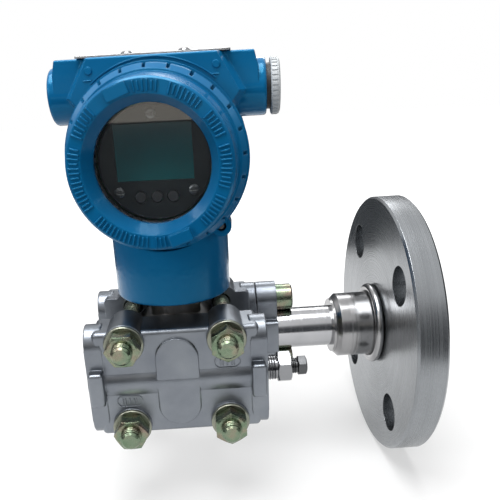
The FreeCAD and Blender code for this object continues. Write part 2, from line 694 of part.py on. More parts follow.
# ---- sensor cell with its neck, isolating membranes, gaskets and sensing element ----
cell = fuse("cell_blank",
            cylinder("cell_drum", dim.cell_r, dim.inner_y * 2, 0, dim.inner_y, 0, "-Y"),
            cylinder("cell_stem", dim.stem_r, dim.stem_top, 0, 0, 0),
            cylinder("cell_thread", dim.thread_r, dim.thread_top - dim.stem_top, 0, 0, dim.stem_top))
seal_z = dim.stem_top + 5
seal_r = 1.6
ring_cut = turned("neck_groove", [
    (dim.thread_r - 2 * seal_r, seal_z - seal_r), (dim.thread_r + 1, seal_z - seal_r),
    (dim.thread_r + 1, seal_z + seal_r), (dim.thread_r - 2 * seal_r, seal_z + seal_r),
])
element_z = dim.cell_r / 4
tools = [ring_cut, cylinder("neck_room", dim.neck_bore, dim.thread_top - element_z, 0, 0, element_z)]
for side, outward in ((-1, "-Y"), (1, "+Y")):
    tools.append(cylinder("isolator_seat", dim.isolator_r + dim.fit, dim.isolator_seat, 0,
                          side * (dim.inner_y - dim.isolator_seat), 0, outward))
    tools.append(cylinder("oil_duct", dim.fill_bore, dim.inner_y / 2, 0, side * (dim.inner_y / 2), 0,
                          outward))
    tools.append(cylinder("oil_riser", dim.fill_bore, element_z, 0, side * (dim.inner_y / 2), 0))
node("sensor_cell", cut("cell", cell, *tools))
for side, label, outward in ((-1, "front", "-Y"), (1, "rear", "+Y")):
    node(f"{label}_isolator", corrugated(f"{label}_membrane", dim.isolator_r, 2.0, 0.25, 4, 0.25),
         0, side * (dim.inner_y - dim.isolator_seat), 0, outward)
    node(f"{label}_cell_gasket", turned(f"{label}_ring", [
        (dim.ring_in_r, 0), (dim.ring_out_r, 0), (dim.ring_out_r, dim.ring_seat),
        (dim.ring_in_r, dim.ring_seat),
    ]), 0, side * dim.inner_y, 0, outward)


def ring(name, middle_r, section_r):
    """A round ring lying about Z, held on the plane z = 0."""
    torus = doc.addObject("Part::Torus", name)
    bind(torus, "Radius1", middle_r)
    bind(torus, "Radius2", section_r)
    return torus


node("neck_seal", ring("neck_ring", dim.thread_r - seal_r + dim.run, seal_r - dim.fit), 0, 0, seal_z)
element = turned("element_can", [
    (0, 0), (dim.neck_bore - dim.fit, 0), (dim.neck_bore - dim.fit, 9), (dim.neck_bore - 1.5, 10.5),
    (0, 10.5),
])
pins = [cylinder(f"pin_{n}", 0.6, 8, 6 * math.cos(n * math.pi / 3), 6 * math.sin(n * math.pi / 3), 8)
        for n in range(6)]
node("sensor_element", fuse("element", element, *pins), 0, 0, element_z)


# ---- flange bolts, nuts and washers -------------------------------------------------
def six_sided(name, across_flats, length):
    """A hexagon with its corners turned off at both ends."""
    corner = across_flats / math.sqrt(3)
    off = 0.9
    return common(name, hexagon(name + "_bar", across_flats, length), turned(name + "_corners", [
        (0, 0), (corner - off * 2, 0), (corner, off), (corner, length - off), (corner - off * 2, length),
        (0, length),
    ]))


washer_face = dim.boss_y + dim.washer_h
bolts, nuts, washers = [], [], []
bolt_len = washer_face + dim.bolt_tip_y
for n, (column, row) in enumerate(((-1, -1), (-1, 1), (1, -1), (1, 1))):
    x, z = column * dim.bolt_x, row * dim.bolt_z
    turn = 0 if column < 0 else 30
    shank = turned(f"bolt_shank_{n}", [
        (0, -1), (dim.screw_r, -1), (dim.screw_r, bolt_len - dim.tip_chamfer),
        (dim.screw_r - dim.tip_chamfer, bolt_len), (0, bolt_len),
    ])
    head = place(six_sided(f"bolt_head_{n}", dim.hex_af, dim.head_h), 0, 0, -dim.head_h)
    bolts.append(place(fuse(f"bolt_{n}", shank, head), x, washer_face, z, "-Y", turn))
    nut = cut(f"nut_{n}", six_sided(f"nut_blank_{n}", dim.hex_af, dim.nut_h),
              cylinder(f"nut_bore_{n}", dim.screw_r + dim.fit, dim.nut_h))
    nuts.append(place(nut, x, -washer_face, z, "-Y", turn))
    for side, outward in ((-1, "-Y"), (1, "+Y")):
        washer = turned(f"washer_{n}_{'near' if side < 0 else 'far'}", [
            (dim.screw_r + dim.fit, 0), (dim.washer_r, 0), (dim.washer_r, dim.washer_h - 0.4),
            (dim.washer_r - 0.4, dim.washer_h), (dim.screw_r + dim.fit, dim.washer_h),
        ])
        washers.append(place(washer, x, side * dim.boss_y, z, outward))
node("flange_bolts", group("bolt_set", bolts))
node("flange_nuts", group("nut_set", nuts))
node("flange_washers", group("washer_set", washers))

# ---- vent valve in the near right port, plug in the far left port ---------------------
shank_r = dim.port_r - dim.fit
bleed_bore = dim.bleed_r + dim.run
hex_end = dim.vent_neck_len + dim.vent_hex_len
seat_x = -2
valve = fuse("vent_blank", turned("vent_turned", [
    (0, -dim.vent_thread_len), (shank_r, -dim.vent_thread_len), (shank_r, 0), (dim.vent_neck_r, 0),
    (dim.vent_neck_r, dim.vent_neck_len + 1), (0, dim.vent_neck_len + 1),
]), place(six_sided("vent_hex", dim.vent_af, dim.vent_hex_len), 0, 0, dim.vent_neck_len, "+Z", 0))
vent_body = cut("vent_body", valve,
                cylinder("vent_thread", bleed_bore, hex_end - seat_x, 0, 0, seat_x),
                cylinder("vent_duct", dim.bleed_r / 3, hex_end + dim.vent_thread_len, 0, 0,
                         -dim.vent_thread_len))
node("vent_valve_body", vent_body, dim.end_x, -port_y, 0, "+X")
stem_end = hex_end + dim.bleed_out
node("bleed_screw", fuse("bleed", turned("bleed_turned", [
    (0, seat_x + dim.run), (dim.bleed_r / 2, seat_x + dim.run), (dim.bleed_r, 0),
    (dim.bleed_r, stem_end + 1),
    (0, stem_end + 1),
]), place(six_sided("bleed_hex", dim.bleed_af, dim.bleed_hex_len), 0, 0, stem_end)),
     dim.end_x, -port_y, 0, "+X")
plug_deep = 0.5
node("rear_port_plug", cut("port_plug", cylinder("port_plug_blank", shank_r, dim.port_depth - 3),
                           hexagon("port_plug_socket", dim.socket_af * 0.75, 6, 0, 0, dim.port_depth - 9)),
     plug_deep + dim.port_depth - 3 - dim.end_x, port_y, 0, "-X")

# ---- housing: neck, barrel, roof block and conduit bosses, hollow inside --------------
axis_z = dim.barrel_z
neck = cylinder("neck_drum", dim.neck_r, axis_z - dim.neck_z, 0, 0, dim.neck_z)
neck = rounded("neck_foot", neck, 1.2, lambda edge: abs(edge.CenterOfMass.z - dim.neck_z.number) < 0.01)
barrel = cylinder("barrel", barrel_r, dim.barrel_y * 2, 0, dim.barrel_y, axis_z, "-Y")
rims = []
for side in (-1, 1):
    start = dim.barrel_y if side > 0 else dim.rim_w - dim.barrel_y
    rim = cylinder(f"rim_{'near' if side < 0 else 'far'}", cover_r, dim.rim_w, 0, start, axis_z, "-Y")
    rims.append(rounded(rim.Name + "_round", rim, 0.7, lambda edge: edge.BoundBox.YLength < 0.01))


def roof_section(body, name, height, front_x, wing_y, end_x):
    """Level outline of the roof block: flat front and back, slanted sides, wings."""
    half = [(front_x, -dim.roof_y), (front_x + (dim.roof_y - wing_y) * 0.4, -wing_y), (end_x, -wing_y)]
    right = half + [(x, -y) for x, y in reversed(half)]
    sketch = new_sketch(body, name, "XY_Plane", height)
    draw(sketch, right + [(-x, y) for x, y in reversed(right)])
    return sketch


roof = doc.addObject("PartDesign::Body", "roof_block")
wing_y = dim.conduit_r - 0.1
shoulder_z = conduit_z - 1
spread = (dim.block_front_x - dim.roof_front_x) * dim.slope_h / (roof_z - shoulder_z)
sections = [
    roof_section(roof, "roof_top", roof_z, dim.roof_front_x, wing_y, dim.roof_x),
    roof_section(roof, "roof_slope_foot", roof_z - dim.slope_h, dim.roof_front_x + spread, wing_y,
                 dim.slope_x),
    roof_section(roof, "roof_shoulder", shoulder_z, dim.block_front_x, wing_y, dim.slope_x),
    roof_section(roof, "roof_foot", conduit_z - dim.conduit_r * 0.6, dim.block_front_x - 5.5, wing_y * 0.75,
                 dim.slope_x),
]
loft = roof.newObject("PartDesign::AdditiveLoft", "roof_loft")
loft.Profile = sections[0]
loft.Sections = sections[1:]
loft.Ruled = True
roof_round = rounded("roof_rounded", roof, 1.0, lambda edge: edge.CenterOfMass.z > roof_z.number - 0.1)
bosses = cylinder("conduit_bosses", dim.conduit_r, dim.conduit_x * 2, -dim.conduit_x, 0, conduit_z,
                  "+X")
bosses = rounded("conduit_boss_rims", bosses, 1.6, lambda edge: edge.BoundBox.XLength < 0.01)
lock_y = dim.barrel_y - 12
lock_boss = cylinder("lock_boss", dim.lock_r, 12, lock_x, -lock_y, lock_z, "-Y")
lock_web = block("lock_web", (lock_x - 6, -lock_y, lock_z),
                 (lock_x, -dim.barrel_y, lock_z + 6))
shell = fuse("housing_blank", neck, barrel, roof_round, bosses, lock_boss, lock_web, *rims)
neck_hole_r = dim.thread_r + dim.play
hollows = [
    cylinder("front_room", bore_r, dim.barrel_y - dim.front_room, 0, -dim.front_room, axis_z, "-Y"),
    cylinder("rear_room", bore_r, dim.barrel_y + dim.rear_room, 0, -dim.rear_room, axis_z, "+Y"),
    cylinder("neck_hole", neck_hole_r, dim.neck_room_z - dim.neck_z, 0, 0, dim.neck_z),
    cylinder("cable_hole", dim.cable_hole_r, axis_z - bore_r * 0.8 - dim.neck_room_z, 0,
             -dim.front_room - dim.cable_hole_r - 0.5, dim.neck_room_z),
    cylinder("feed_hole", dim.cable_hole_r, dim.front_room - dim.rear_room, 0, -dim.rear_room,
             axis_z - bore_r + dim.cable_hole_r + 2, "-Y"),
    cylinder("lock_hole", dim.small_r + dim.fit, 12, lock_x, -lock_y, lock_z, "-Y"),
    cylinder("set_screw_hole", dim.small_r + dim.fit, dim.neck_r, 0, 0, dim.set_screw_z, "+Y"),
]
for end, label, inward in ((-1, "left", "+X"), (1, "right", "-X")):
    hollows.append(cylinder(f"{label}_entry", dim.conduit_bore, dim.conduit_depth,
                            end * dim.conduit_x, 0, conduit_z, inward))
    hollows.append(cylinder(f"{label}_passage", dim.conduit_bore - 1.2, dim.conduit_x - 22,
                            end * dim.conduit_x, 0, conduit_z, inward))
    hollows.append(cylinder(f"{label}_pin_hole", dim.pin_r + dim.fit, dim.pin_deep + 1,
                            end * dim.plate_screw_x, 0, roof_z - dim.pin_deep - 1))
button_low = roof_z - dim.button_sunk - dim.button_len
for end in (-1, 1):
    hollows.append(cylinder(f"button_bore_{'left' if end < 0 else 'right'}", dim.button_r + dim.play,
                            dim.button_sunk + dim.button_len + dim.spring_len, end * button_x,
                            -dim.button_y,
                            button_low - dim.spring_len))
for x, up in ((-post_x, -post_down), (post_x, -post_down), (Size(0, "0"), post_ring)):
    hollows.append(cylinder("post_hole", dim.post_r - 0.6 + dim.fit, 3, x, -dim.front_room, axis_z + up,
                            "+Y"))
hollows.append(cylinder("ground_hole", dim.small_r - 0.5 + dim.fit, 5, ground_x, -dim.rear_room,
                        axis_z - ground_down, "-Y"))
for side, outward in ((-1, "-Y"), (1, "+Y")):
    hollows.append(cylinder(f"cover_relief_{'near' if side < 0 else 'far'}", cover_lip_r + 0.5, 8, 0,
                            side * dim.barrel_y, axis_z, outward))
head_node("housing", cut("housing_hollow", shell, *hollows))


def socket_screw(name, radius, length, across_flats):
    """A headless screw about Z with a hexagon socket in its outer end."""
    blank = turned(name + "_blank", [
        (0, 0), (radius * 0.6, 0), (radius, radius * 0.4), (radius, length - 0.4), (radius - 0.4, length),
        (0, length),
    ])
    return cut(name, blank, hexagon(name + "_socket", across_flats, length / 2, 0, 0, length / 2))


head_node("housing_set_screw", socket_screw("neck_screw", dim.small_r, dim.neck_r - dim.thread_r - 3, 2.5),
     0, dim.thread_r + 0.5, dim.set_screw_z, "+Y")
head_node("cover_lock_screw", socket_screw("lock_screw", dim.small_r, 9, 2.5), lock_x,
          -dim.barrel_y + 0.6,
     lock_z, "+Y")

# ---- nameplate on the roof with its screws, and the two buttons under it --------------
reach = dim.plate_screw_x * 2
slot = dim.pin_r + dim.play
swing = cut("slot_ring",
            cylinder("slot_outside", reach + slot, dim.plate_thick, -dim.plate_screw_x, 0, 0),
            cylinder("slot_inside", reach - slot, dim.plate_thick, -dim.plate_screw_x, 0, 0),
            block("slot_not_front", (-dim.plate_half_x * 2, -dim.plate_half_x * 2, 0),
                  (dim.plate_half_x * 2, 0, dim.plate_thick)),
            block("slot_not_left", (-dim.plate_half_x * 2, -1, 0),
                  (-dim.plate_screw_x, dim.plate_half_x * 2,
                                                                    dim.plate_thick)))
plate = rounded("label_corners", block("label_blank", (-dim.plate_half_x, -dim.plate_half_y, 0),
                                       (dim.plate_half_x, dim.plate_half_y, dim.plate_thick)),
                1.5, lambda edge: abs(edge.tangentAt(edge.FirstParameter).z) > 0.9)
head_node("nameplate", cut("label_plate", plate, swing,
                      cylinder("pivot_hole", slot, dim.plate_thick, -dim.plate_screw_x, 0, 0),
                      cylinder("slot_end", slot, dim.plate_thick, dim.plate_screw_x, 0, 0)),
     0, 0, roof_z)
head_foot = dim.plate_thick + dim.run
pan_screws = []
for end in (-1, 1):
    label = "left" if end < 0 else "right"
    pan = turned(f"pan_{label}", [
        (0, -dim.pin_deep), (dim.pin_r, -dim.pin_deep), (dim.pin_r, head_foot), (dim.pin_head_r, head_foot),
        (dim.pin_head_r, head_foot + dim.pin_head_h * 0.5), (dim.pin_head_r * 0.75,
                                                             head_foot + dim.pin_head_h * 0.9),
        (dim.pin_head_r * 0.4, head_foot + dim.pin_head_h), (0, head_foot + dim.pin_head_h),
    ])
    bars = [block(f"pan_{label}_{way}", (-long, -wide, head_foot + dim.pin_head_h * 0.4),
                  (long, wide, head_foot + dim.pin_head_h))
            for way, long, wide in (("long", 1.8, 0.35), ("cross", 0.35, 1.8))]
    pan_screws.append(place(cut(f"pan_{label}_cut", pan, *bars), end * dim.plate_screw_x, 0, roof_z))
head_node("nameplate_screws", group("pan_pair", pan_screws))
for end, label in ((-1, "zero"), (1, "span")):
    push = turned(f"{label}_push", [
        (0, 0), (dim.button_r, 0), (dim.button_r, dim.button_len - 0.5),
        (dim.button_r - 0.5, dim.button_len),
        (0, dim.button_len),
    ])
    head_node(f"{label}_button", push, end * button_x, -dim.button_y, button_low)
    spring_r = dim.button_r * 0.8
    head_node(f"{label}_spring", turned(f"{label}_rubber", [
        (spring_r / 2, 0), (spring_r, 0), (spring_r * 0.8, dim.spring_len / 2), (spring_r, dim.spring_len),
        (spring_r / 2, dim.spring_len),
    ]), end * button_x, -dim.button_y, button_low - dim.spring_len)

# ---- covers: castellated skirt, front ring with lugs, window or closed face ------------
groove_r = bore_r - dim.play - dim.oring_r * 2
lip_back = dim.cover_long - dim.window_sunk - dim.window_lip
glass_back = lip_back - dim.glass_ring - dim.glass_thick


def cover(name, tall, inside):
    """A screwed cover about Z; its seat is z = 0 and inside closes its outline."""
    groove_low = -dim.oring_r * 2 - 0.8
    body = turned(name, [
        (spigot_in_r, -dim.spigot_z), (spigot_out_r, -dim.spigot_z), (spigot_out_r, groove_low),
        (groove_r - dim.run, groove_low), (groove_r - dim.run, -0.4), (spigot_out_r, -0.4),
        (spigot_out_r, 0), (cover_lip_r, 0), (cover_lip_r, dim.cover_lip_h),
        (cover_r, dim.cover_lip_h), (cover_r, dim.skirt_h), (skirt_in_r, dim.skirt_top),
        (ring_r, dim.skirt_top), (face_r, tall - dim.face_round),
        (face_r - dim.face_round, tall),
        (band_r, tall),
    ] + inside)
    core_r = skirt_in_r + 0.6
    first = pocket(body, name + "_notch", square(core_r, cover_lip_r + 2, dim.notch_w / 2),
                   dim.cover_lip_h, dim.skirt_top + 1, 2.5)
    repeat_round(body, name + "_notches", first, dim.notches)
    first = pad(body, name + "_lug", square(band_r + 0.6, face_r - 1.2, dim.lug_w / 2),
                tall - 0.5, tall + dim.lug_rise, dim.lug_turn)
    repeat_round(body, name + "_lugs", first, 2)
    return body


head_node("front_cover", cover("window_cover", dim.cover_long, [
    (dim.window_r, dim.cover_long - dim.window_sunk), (dim.window_r, lip_back),
    (glass_r + dim.fit, lip_back),
    (glass_r + dim.fit, glass_back), (spigot_in_r, glass_back),
]), 0, -dim.barrel_y, axis_z, "-Y")
floor_z = dim.cover_short - 4
head_node("rear_cover", cover("blind_cover", dim.cover_short, [
    (band_r - 1, dim.cover_short - 1), (0, dim.cover_short - 1), (0, floor_z),
    (spigot_in_r, floor_z),
]), 0, dim.barrel_y, axis_z, "+Y")
head_node("window_gasket", turned("glass_gasket", [
    (dim.window_r + 0.4, glass_back + dim.glass_thick), (glass_r, glass_back + dim.glass_thick),
    (glass_r, lip_back), (dim.window_r + 0.4, lip_back),
]), 0, -dim.barrel_y, axis_z, "-Y")
head_node("window_glass", turned("glass", [
    (0, glass_back), (glass_r, glass_back), (glass_r, glass_back + dim.glass_thick),
    (0, glass_back + dim.glass_thick),
]), 0, -dim.barrel_y, axis_z, "-Y")
retainer_r = spigot_in_r - dim.fit
retainer = turned("retainer", [
    (dim.window_r + 0.6, glass_back - dim.retainer_h), (retainer_r, glass_back - dim.retainer_h),
    (retainer_r, glass_back), (dim.window_r + 0.6, glass_back),
])
grip = pocket(retainer, "retainer_grip", square(dim.window_r - 1, dim.window_r + 2.8, 1.2),
              glass_back - dim.retainer_h - 1, glass_back - dim.retainer_h / 2)
repeat_round(retainer, "retainer_grips", grip, 4)
head_node("glass_retainer", retainer, 0, -dim.barrel_y, axis_z, "-Y")
for label, side, outward in (("front", -1, "-Y"), ("rear", 1, "+Y")):
    away = dim.barrel_y - dim.oring_r - 0.6
    head_node(f"{label}_cover_seal", ring(f"{label}_cover_ring", groove_r + dim.oring_r, dim.oring_r),
         0, side * away, axis_z, outward)

# ---- display: bezel, glass, keys and board on the standoffs of the main board -----------
bezel_back = dim.bezel_y - dim.bezel_thick
lcd_middle = axis_z + lcd_up
bezel = cylinder("bezel_disc", bezel_r, dim.bezel_thick, 0, -bezel_back, axis_z, "-Y")
bezel = rounded("bezel_edge", bezel, 0.8, lambda edge: edge.BoundBox.YLength < 0.01
                and edge.CenterOfMass.y < -bezel_back.number - 1)
posts = ((-post_x, -post_down), (post_x, -post_down), (Size(0, "0"), post_ring))
keys = (("left", -dim.key_x), ("middle", Size(0, "0")), ("right", dim.key_x))
pin_hole = dim.post_r * 0.65
tools = [block("lcd_hole", (-lcd_x - dim.run, -bezel_back, lcd_middle - lcd_z - dim.run),
               (lcd_x + dim.run, -dim.bezel_y, lcd_middle + lcd_z + dim.run))]
tools += [cylinder(f"bezel_hole_{n}", pin_hole + dim.fit, dim.bezel_thick, x, -bezel_back, axis_z + up,
                   "-Y")
          for n, (x, up) in enumerate(posts)]
tools += [cylinder(f"{label}_key_hole", dim.key_r + dim.play, dim.bezel_thick, x, -bezel_back,
                   axis_z - key_down, "-Y") for label, x in keys]
head_node("display_bezel", cut("bezel", bezel, *tools))
head_node("display_glass", block("lcd", (-lcd_x, 0, -lcd_z),
                                 (lcd_x, -dim.lcd_thick, lcd_z)),
     -lcd_x, -bezel_back - dim.lcd_thick, lcd_middle - lcd_z)
display_back = bezel_back - dim.board_thick
display = cylinder("display_disc", bezel_r - 1, dim.board_thick, 0, -display_back, axis_z, "-Y")
head_node("display_board", cut("display_plate", display, *[
    cylinder(f"display_hole_{n}", pin_hole + dim.fit, dim.board_thick, x, -display_back, axis_z + up, "-Y")
    for n, (x, up) in enumerate(posts)]))
for label, x in keys:
    head_node(f"{label}_key", turned(f"{label}_key_cap", [
        (0, dim.key_gap), (dim.key_r, dim.key_gap), (dim.key_r, dim.bezel_thick + dim.key_rise - 0.5),
        (dim.key_r - 0.5, dim.bezel_thick + dim.key_rise), (0, dim.bezel_thick + dim.key_rise),
    ]), x, -bezel_back, axis_z - key_down, "-Y")
board_back = dim.board_y - dim.board_thick
stud_r = dim.post_r - 0.6
standoffs, display_pins = [], []
for n, (x, up) in enumerate(posts):
    stand = turned(f"standoff_{n}", [
        (0, dim.front_room - 2.5), (stud_r, dim.front_room - 2.5), (stud_r, dim.front_room),
        (dim.post_r, dim.front_room), (dim.post_r, board_back), (stud_r, board_back), (stud_r, dim.board_y),
        (dim.post_r, dim.board_y), (dim.post_r, display_back), (pin_hole + dim.fit, display_back),
        (pin_hole + dim.fit, display_back - 6), (0, display_back - 6),
    ])
    standoffs.append(place(stand, x, 0, axis_z + up, "-Y"))
    pin = turned(f"display_pin_{n}", [
        (0, display_back - 5), (pin_hole, display_back - 5), (pin_hole, dim.bezel_y),
        (dim.post_r + 0.4, dim.bezel_y), (dim.post_r + 0.4, dim.bezel_y + 0.8),
        (dim.post_r - 0.4, dim.bezel_y + 1.2),
        (0, dim.bezel_y + 1.2),
    ])
    bar = block(f"display_slot_{n}", (-dim.post_r * 2, -0.3, dim.bezel_y + 0.6),
                (dim.post_r * 2, 0.3, dim.bezel_y + 2))
    display_pins.append(place(cut(f"display_pin_cut_{n}", pin, bar), x, 0, axis_z + up, "-Y"))
head_node("board_posts", group("standoff_set", standoffs))
head_node("display_screws", group("display_pin_set", display_pins))
chips = [
    block("chip_large", (-8, -dim.board_y, axis_z - 6), (8, -dim.board_y - 2.2, axis_z + 8)),
    block("chip_small", (board_r * 0.39, -dim.board_y, axis_z - 4),
          (board_r * 0.61, -dim.board_y - 1.8, axis_z + 3)),
    block("chip_tall", (-board_r * 0.77, -dim.board_y, axis_z - 2),
          (-board_r * 0.45, -dim.board_y - 6, axis_z + board_r * 0.39)),
    block("sensor_socket", (-board_r * 0.23, -board_back, axis_z - board_r * 0.77),
          (board_r * 0.23, -board_back + 5, axis_z - board_r * 0.58)),
    cylinder("capacitor", 3.5, 8, board_r * 0.52, -dim.board_y, axis_z + board_r * 0.45, "-Y"),
]
main_board = fuse("main_board", cylinder("board_disc", board_r, dim.board_thick, 0, -board_back, axis_z,
                                         "-Y"),
                  *chips)
head_node("electronics_board", cut("main_board_drilled", main_board, *[
    cylinder(f"board_hole_{n}", stud_r + dim.fit, dim.board_thick, x, -board_back, axis_z + up, "-Y")
    for n, (x, up) in enumerate(posts)]))

# ---- rear room: terminal block, its screws and the inner ground screw --------------------
rear_floor = -dim.rear_room
block_face = rear_floor + dim.block_thick
blank = cylinder("terminal_blank", block_r, dim.block_thick, 0, rear_floor, axis_z, "+Y")
blank = rounded("terminal_round", blank, 1.2, lambda edge: edge.BoundBox.YLength < 0.01
                and edge.CenterOfMass.y > block_face.number - 1)
row = [(n - 1.5) * dim.terminal_x for n in range(4)]
well = dim.terminal_r + 0.6
tools = [block(f"terminal_well_{n}", (x - well, block_face - 6, axis_z - 14),
               (x + well, block_face, axis_z + well))
         for n, x in enumerate(row)]
tools += [cylinder(f"terminal_tap_{n}", 1.75, 6, x, block_face - 12, axis_z, "+Y") for n,
          x in enumerate(row)]
head_node("terminal_block", cut("terminals", blank, *tools))


def slotted(name, head_r, head_h, stem_r, stem_len):
    """A slotted screw about Z with the underside of its head at z = 0."""
    blank = turned(name + "_blank", [
        (0, -stem_len), (stem_r, -stem_len), (stem_r, 0), (head_r, 0), (head_r, head_h - 0.4),
        (head_r - 0.4, head_h), (0, head_h),
    ])
    return cut(name, blank, block(name + "_slot", (-head_r, -0.5, head_h * 0.5), (head_r, 0.5, head_h)))


head_node("terminal_screws", group("terminal_set", [
    place(slotted(f"terminal_screw_{n}", dim.terminal_r, 2.6, 1.7, 5), x, block_face - 6, axis_z, "+Y")
    for n, x in enumerate(row)]))
head_node("ground_screw", slotted("ground", dim.terminal_r, 2.6, dim.small_r - 0.5, 4.5), ground_x,
     rear_floor,
     axis_z - ground_down, "+Y")

# ---- plug and seal in the right conduit entry ---------------------------------------------
plug_r = dim.conduit_bore - dim.fit
head_node("conduit_plug_seal", turned("plug_seal", [
    (plug_r + dim.fit, 0), (dim.plug_seal_r, 0), (dim.plug_seal_r, dim.plug_seal_h),
    (plug_r + dim.fit, dim.plug_seal_h),
]), dim.conduit_x, 0, conduit_z, "+X")
plug_top = dim.plug_seal_h + dim.plug_head_h
plug = turned("plug", [
    (plug_r - 1.5, -13), (plug_r - 0.8, -13), (plug_r, -12), (plug_r, dim.plug_seal_h),
    (dim.plug_head_r - 0.6, dim.plug_seal_h), (dim.plug_head_r, dim.plug_seal_h + 0.6),
    (dim.plug_head_r, plug_top - 1.6), (dim.plug_head_r - 0.5, plug_top - 0.5),
    (dim.plug_head_r - 1.6, plug_top),
    (0, plug_top), (0, plug_top - 3), (plug_r - 1.5, plug_top - 3),
])
rib = pocket(plug, "plug_rib", square(dim.plug_head_r - 0.35, dim.plug_head_r + 1, 0.4),
             dim.plug_seal_h, plug_top)
repeat_round(plug, "plug_ribs", rib, 36)
head_node("conduit_plug", plug, dim.conduit_x, 0, conduit_z, "+X")

# ---- check every piece, then write one file for each ----------------------------------------
doc.recompute()
wrong = [item.Name for item in doc.Objects if "Invalid" in item.State or "Error" in item.State]
for piece in nodes:
    shape = piece.Shape
    if shape.isNull() or not shape.isValid() or not shape.Solids:
        wrong.append(piece.Label)
if wrong:
    raise RuntimeError("these pieces are not sound: " + ", ".join(sorted(set(wrong))))
for piece in nodes:
    piece.Shape.exportStep(f"parts/{piece.Label}.step")
print(len(nodes), "pieces written")
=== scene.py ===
import math

import bmesh
import bpy
from mathutils import Matrix, Vector


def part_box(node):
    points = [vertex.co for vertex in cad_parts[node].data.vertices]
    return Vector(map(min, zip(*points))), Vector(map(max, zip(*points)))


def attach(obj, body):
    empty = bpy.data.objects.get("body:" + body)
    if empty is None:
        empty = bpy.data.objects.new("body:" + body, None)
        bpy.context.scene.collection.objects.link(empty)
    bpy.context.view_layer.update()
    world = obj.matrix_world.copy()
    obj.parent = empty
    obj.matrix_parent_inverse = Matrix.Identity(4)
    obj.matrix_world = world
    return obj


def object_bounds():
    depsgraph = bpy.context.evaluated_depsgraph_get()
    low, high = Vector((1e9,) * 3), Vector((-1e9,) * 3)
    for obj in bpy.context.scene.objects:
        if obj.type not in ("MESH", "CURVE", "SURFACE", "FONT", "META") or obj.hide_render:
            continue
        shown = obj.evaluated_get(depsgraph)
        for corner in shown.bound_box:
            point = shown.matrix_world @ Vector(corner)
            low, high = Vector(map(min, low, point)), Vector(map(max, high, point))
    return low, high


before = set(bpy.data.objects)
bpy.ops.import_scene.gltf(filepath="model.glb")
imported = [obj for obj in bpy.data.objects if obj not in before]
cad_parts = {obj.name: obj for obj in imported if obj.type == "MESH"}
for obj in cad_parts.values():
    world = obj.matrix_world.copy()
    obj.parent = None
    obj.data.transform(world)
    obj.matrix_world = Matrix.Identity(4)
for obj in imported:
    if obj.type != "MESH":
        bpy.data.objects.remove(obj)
solid_low, solid_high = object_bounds()

# ---------------------------------------------------------------------------
# Process flange: a stainless disc, faced and turned on a lathe, with four
# drilled holes. The tool leaves fine rings about the tube's axis.
# ---------------------------------------------------------------------------


def new_finish(name, colour, metallic, roughness):
    """A material, with its nodes, links, shader and the frame's coordinates."""
    finish = bpy.data.materials.new(name)
    finish.use_nodes = True
    nodes = finish.node_tree.nodes
    shader = nodes["Principled BSDF"]
    shader.inputs["Base Color"].default_value = (*colour, 1)
    shader.inputs["Metallic"].default_value = metallic
    shader.inputs["Roughness"].default_value = roughness
    place = nodes.new("ShaderNodeTexCoord").outputs["Object"]
    return finish, nodes, finish.node_tree.links, shader, place


def dress(finish, *names):
    """Gives a finish to the CAD pieces of these names."""
    for name in names:
        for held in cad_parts[name].material_slots:
            held.material = finish


def mottle(nodes, links, place, scale, detail=3.0, stretch=(1, 1, 1)):
    """Noise over a piece: scale is in ripples per metre along each axis."""
    mapping = nodes.new("ShaderNodeMapping")
    mapping.inputs["Scale"].default_value = stretch
    links.new(place, mapping.inputs["Vector"])
    noise = nodes.new("ShaderNodeTexNoise")
    noise.inputs["Scale"].default_value = scale
    noise.inputs["Detail"].default_value = detail
    links.new(mapping.outputs["Vector"], noise.inputs["Vector"])
    return noise.outputs["Fac"]


def spread(nodes, links, value, low, high, start=0.3, end=0.7):
    """Maps a value between start and end to a span of numbers."""
    span = nodes.new("ShaderNodeMapRange")
    span.inputs["From Min"].default_value = start
    span.inputs["From Max"].default_value = end
    span.inputs["To Min"].default_value = low
    span.inputs["To Max"].default_value = high
    links.new(value, span.inputs["Value"])
    return span.outputs["Result"]


def tints(nodes, links, value, *stops):
    """Colours along a 0 to 1 pattern, each stop a place and a colour."""
    ramp = nodes.new("ShaderNodeValToRGB")
    bar = ramp.color_ramp
    while len(bar.elements) < len(stops):
        bar.elements.new(0.5)
    for element, (place, colour) in zip(bar.elements, stops):
        element.position = place
        element.color = (*colour, 1)
    links.new(value, ramp.inputs["Fac"])
    return ramp.outputs["Color"]


def number_step(nodes, links, operation, first, second):
    """One step of arithmetic on two numbers."""
    step = nodes.new("ShaderNodeMath")
    step.operation = operation
    links.new(first, step.inputs[0])
    links.new(second, step.inputs[1])
    return step.outputs["Value"]


def vector_step(nodes, links, operation, vector, fixed=(0, 0, 0)):
    """One step of arithmetic on a vector and a fixed one."""
    step = nodes.new("ShaderNodeVectorMath")
    step.operation = operation
    step.inputs[1].default_value = fixed
    links.new(vector, step.inputs[0])
    return step.outputs["Value" if operation in ("LENGTH", "DISTANCE") else "Vector"]


def relief(nodes, links, shader, height, depth, soft=0.0):
    """Raises a height pattern on the surface; soft rounds edges of that radius."""
    bump = nodes.new("ShaderNodeBump")
    bump.inputs["Distance"].default_value = depth
    bump.inputs["Strength"].default_value = 1.0
    links.new(height, bump.inputs["Height"])
    if soft:
        edge = nodes.new("ShaderNodeBevel")
        edge.samples = 4
        edge.inputs["Radius"].default_value = soft
        links.new(edge.outputs["Normal"], bump.inputs["Normal"])
    links.new(bump.outputs["Normal"], shader.inputs["Normal"])


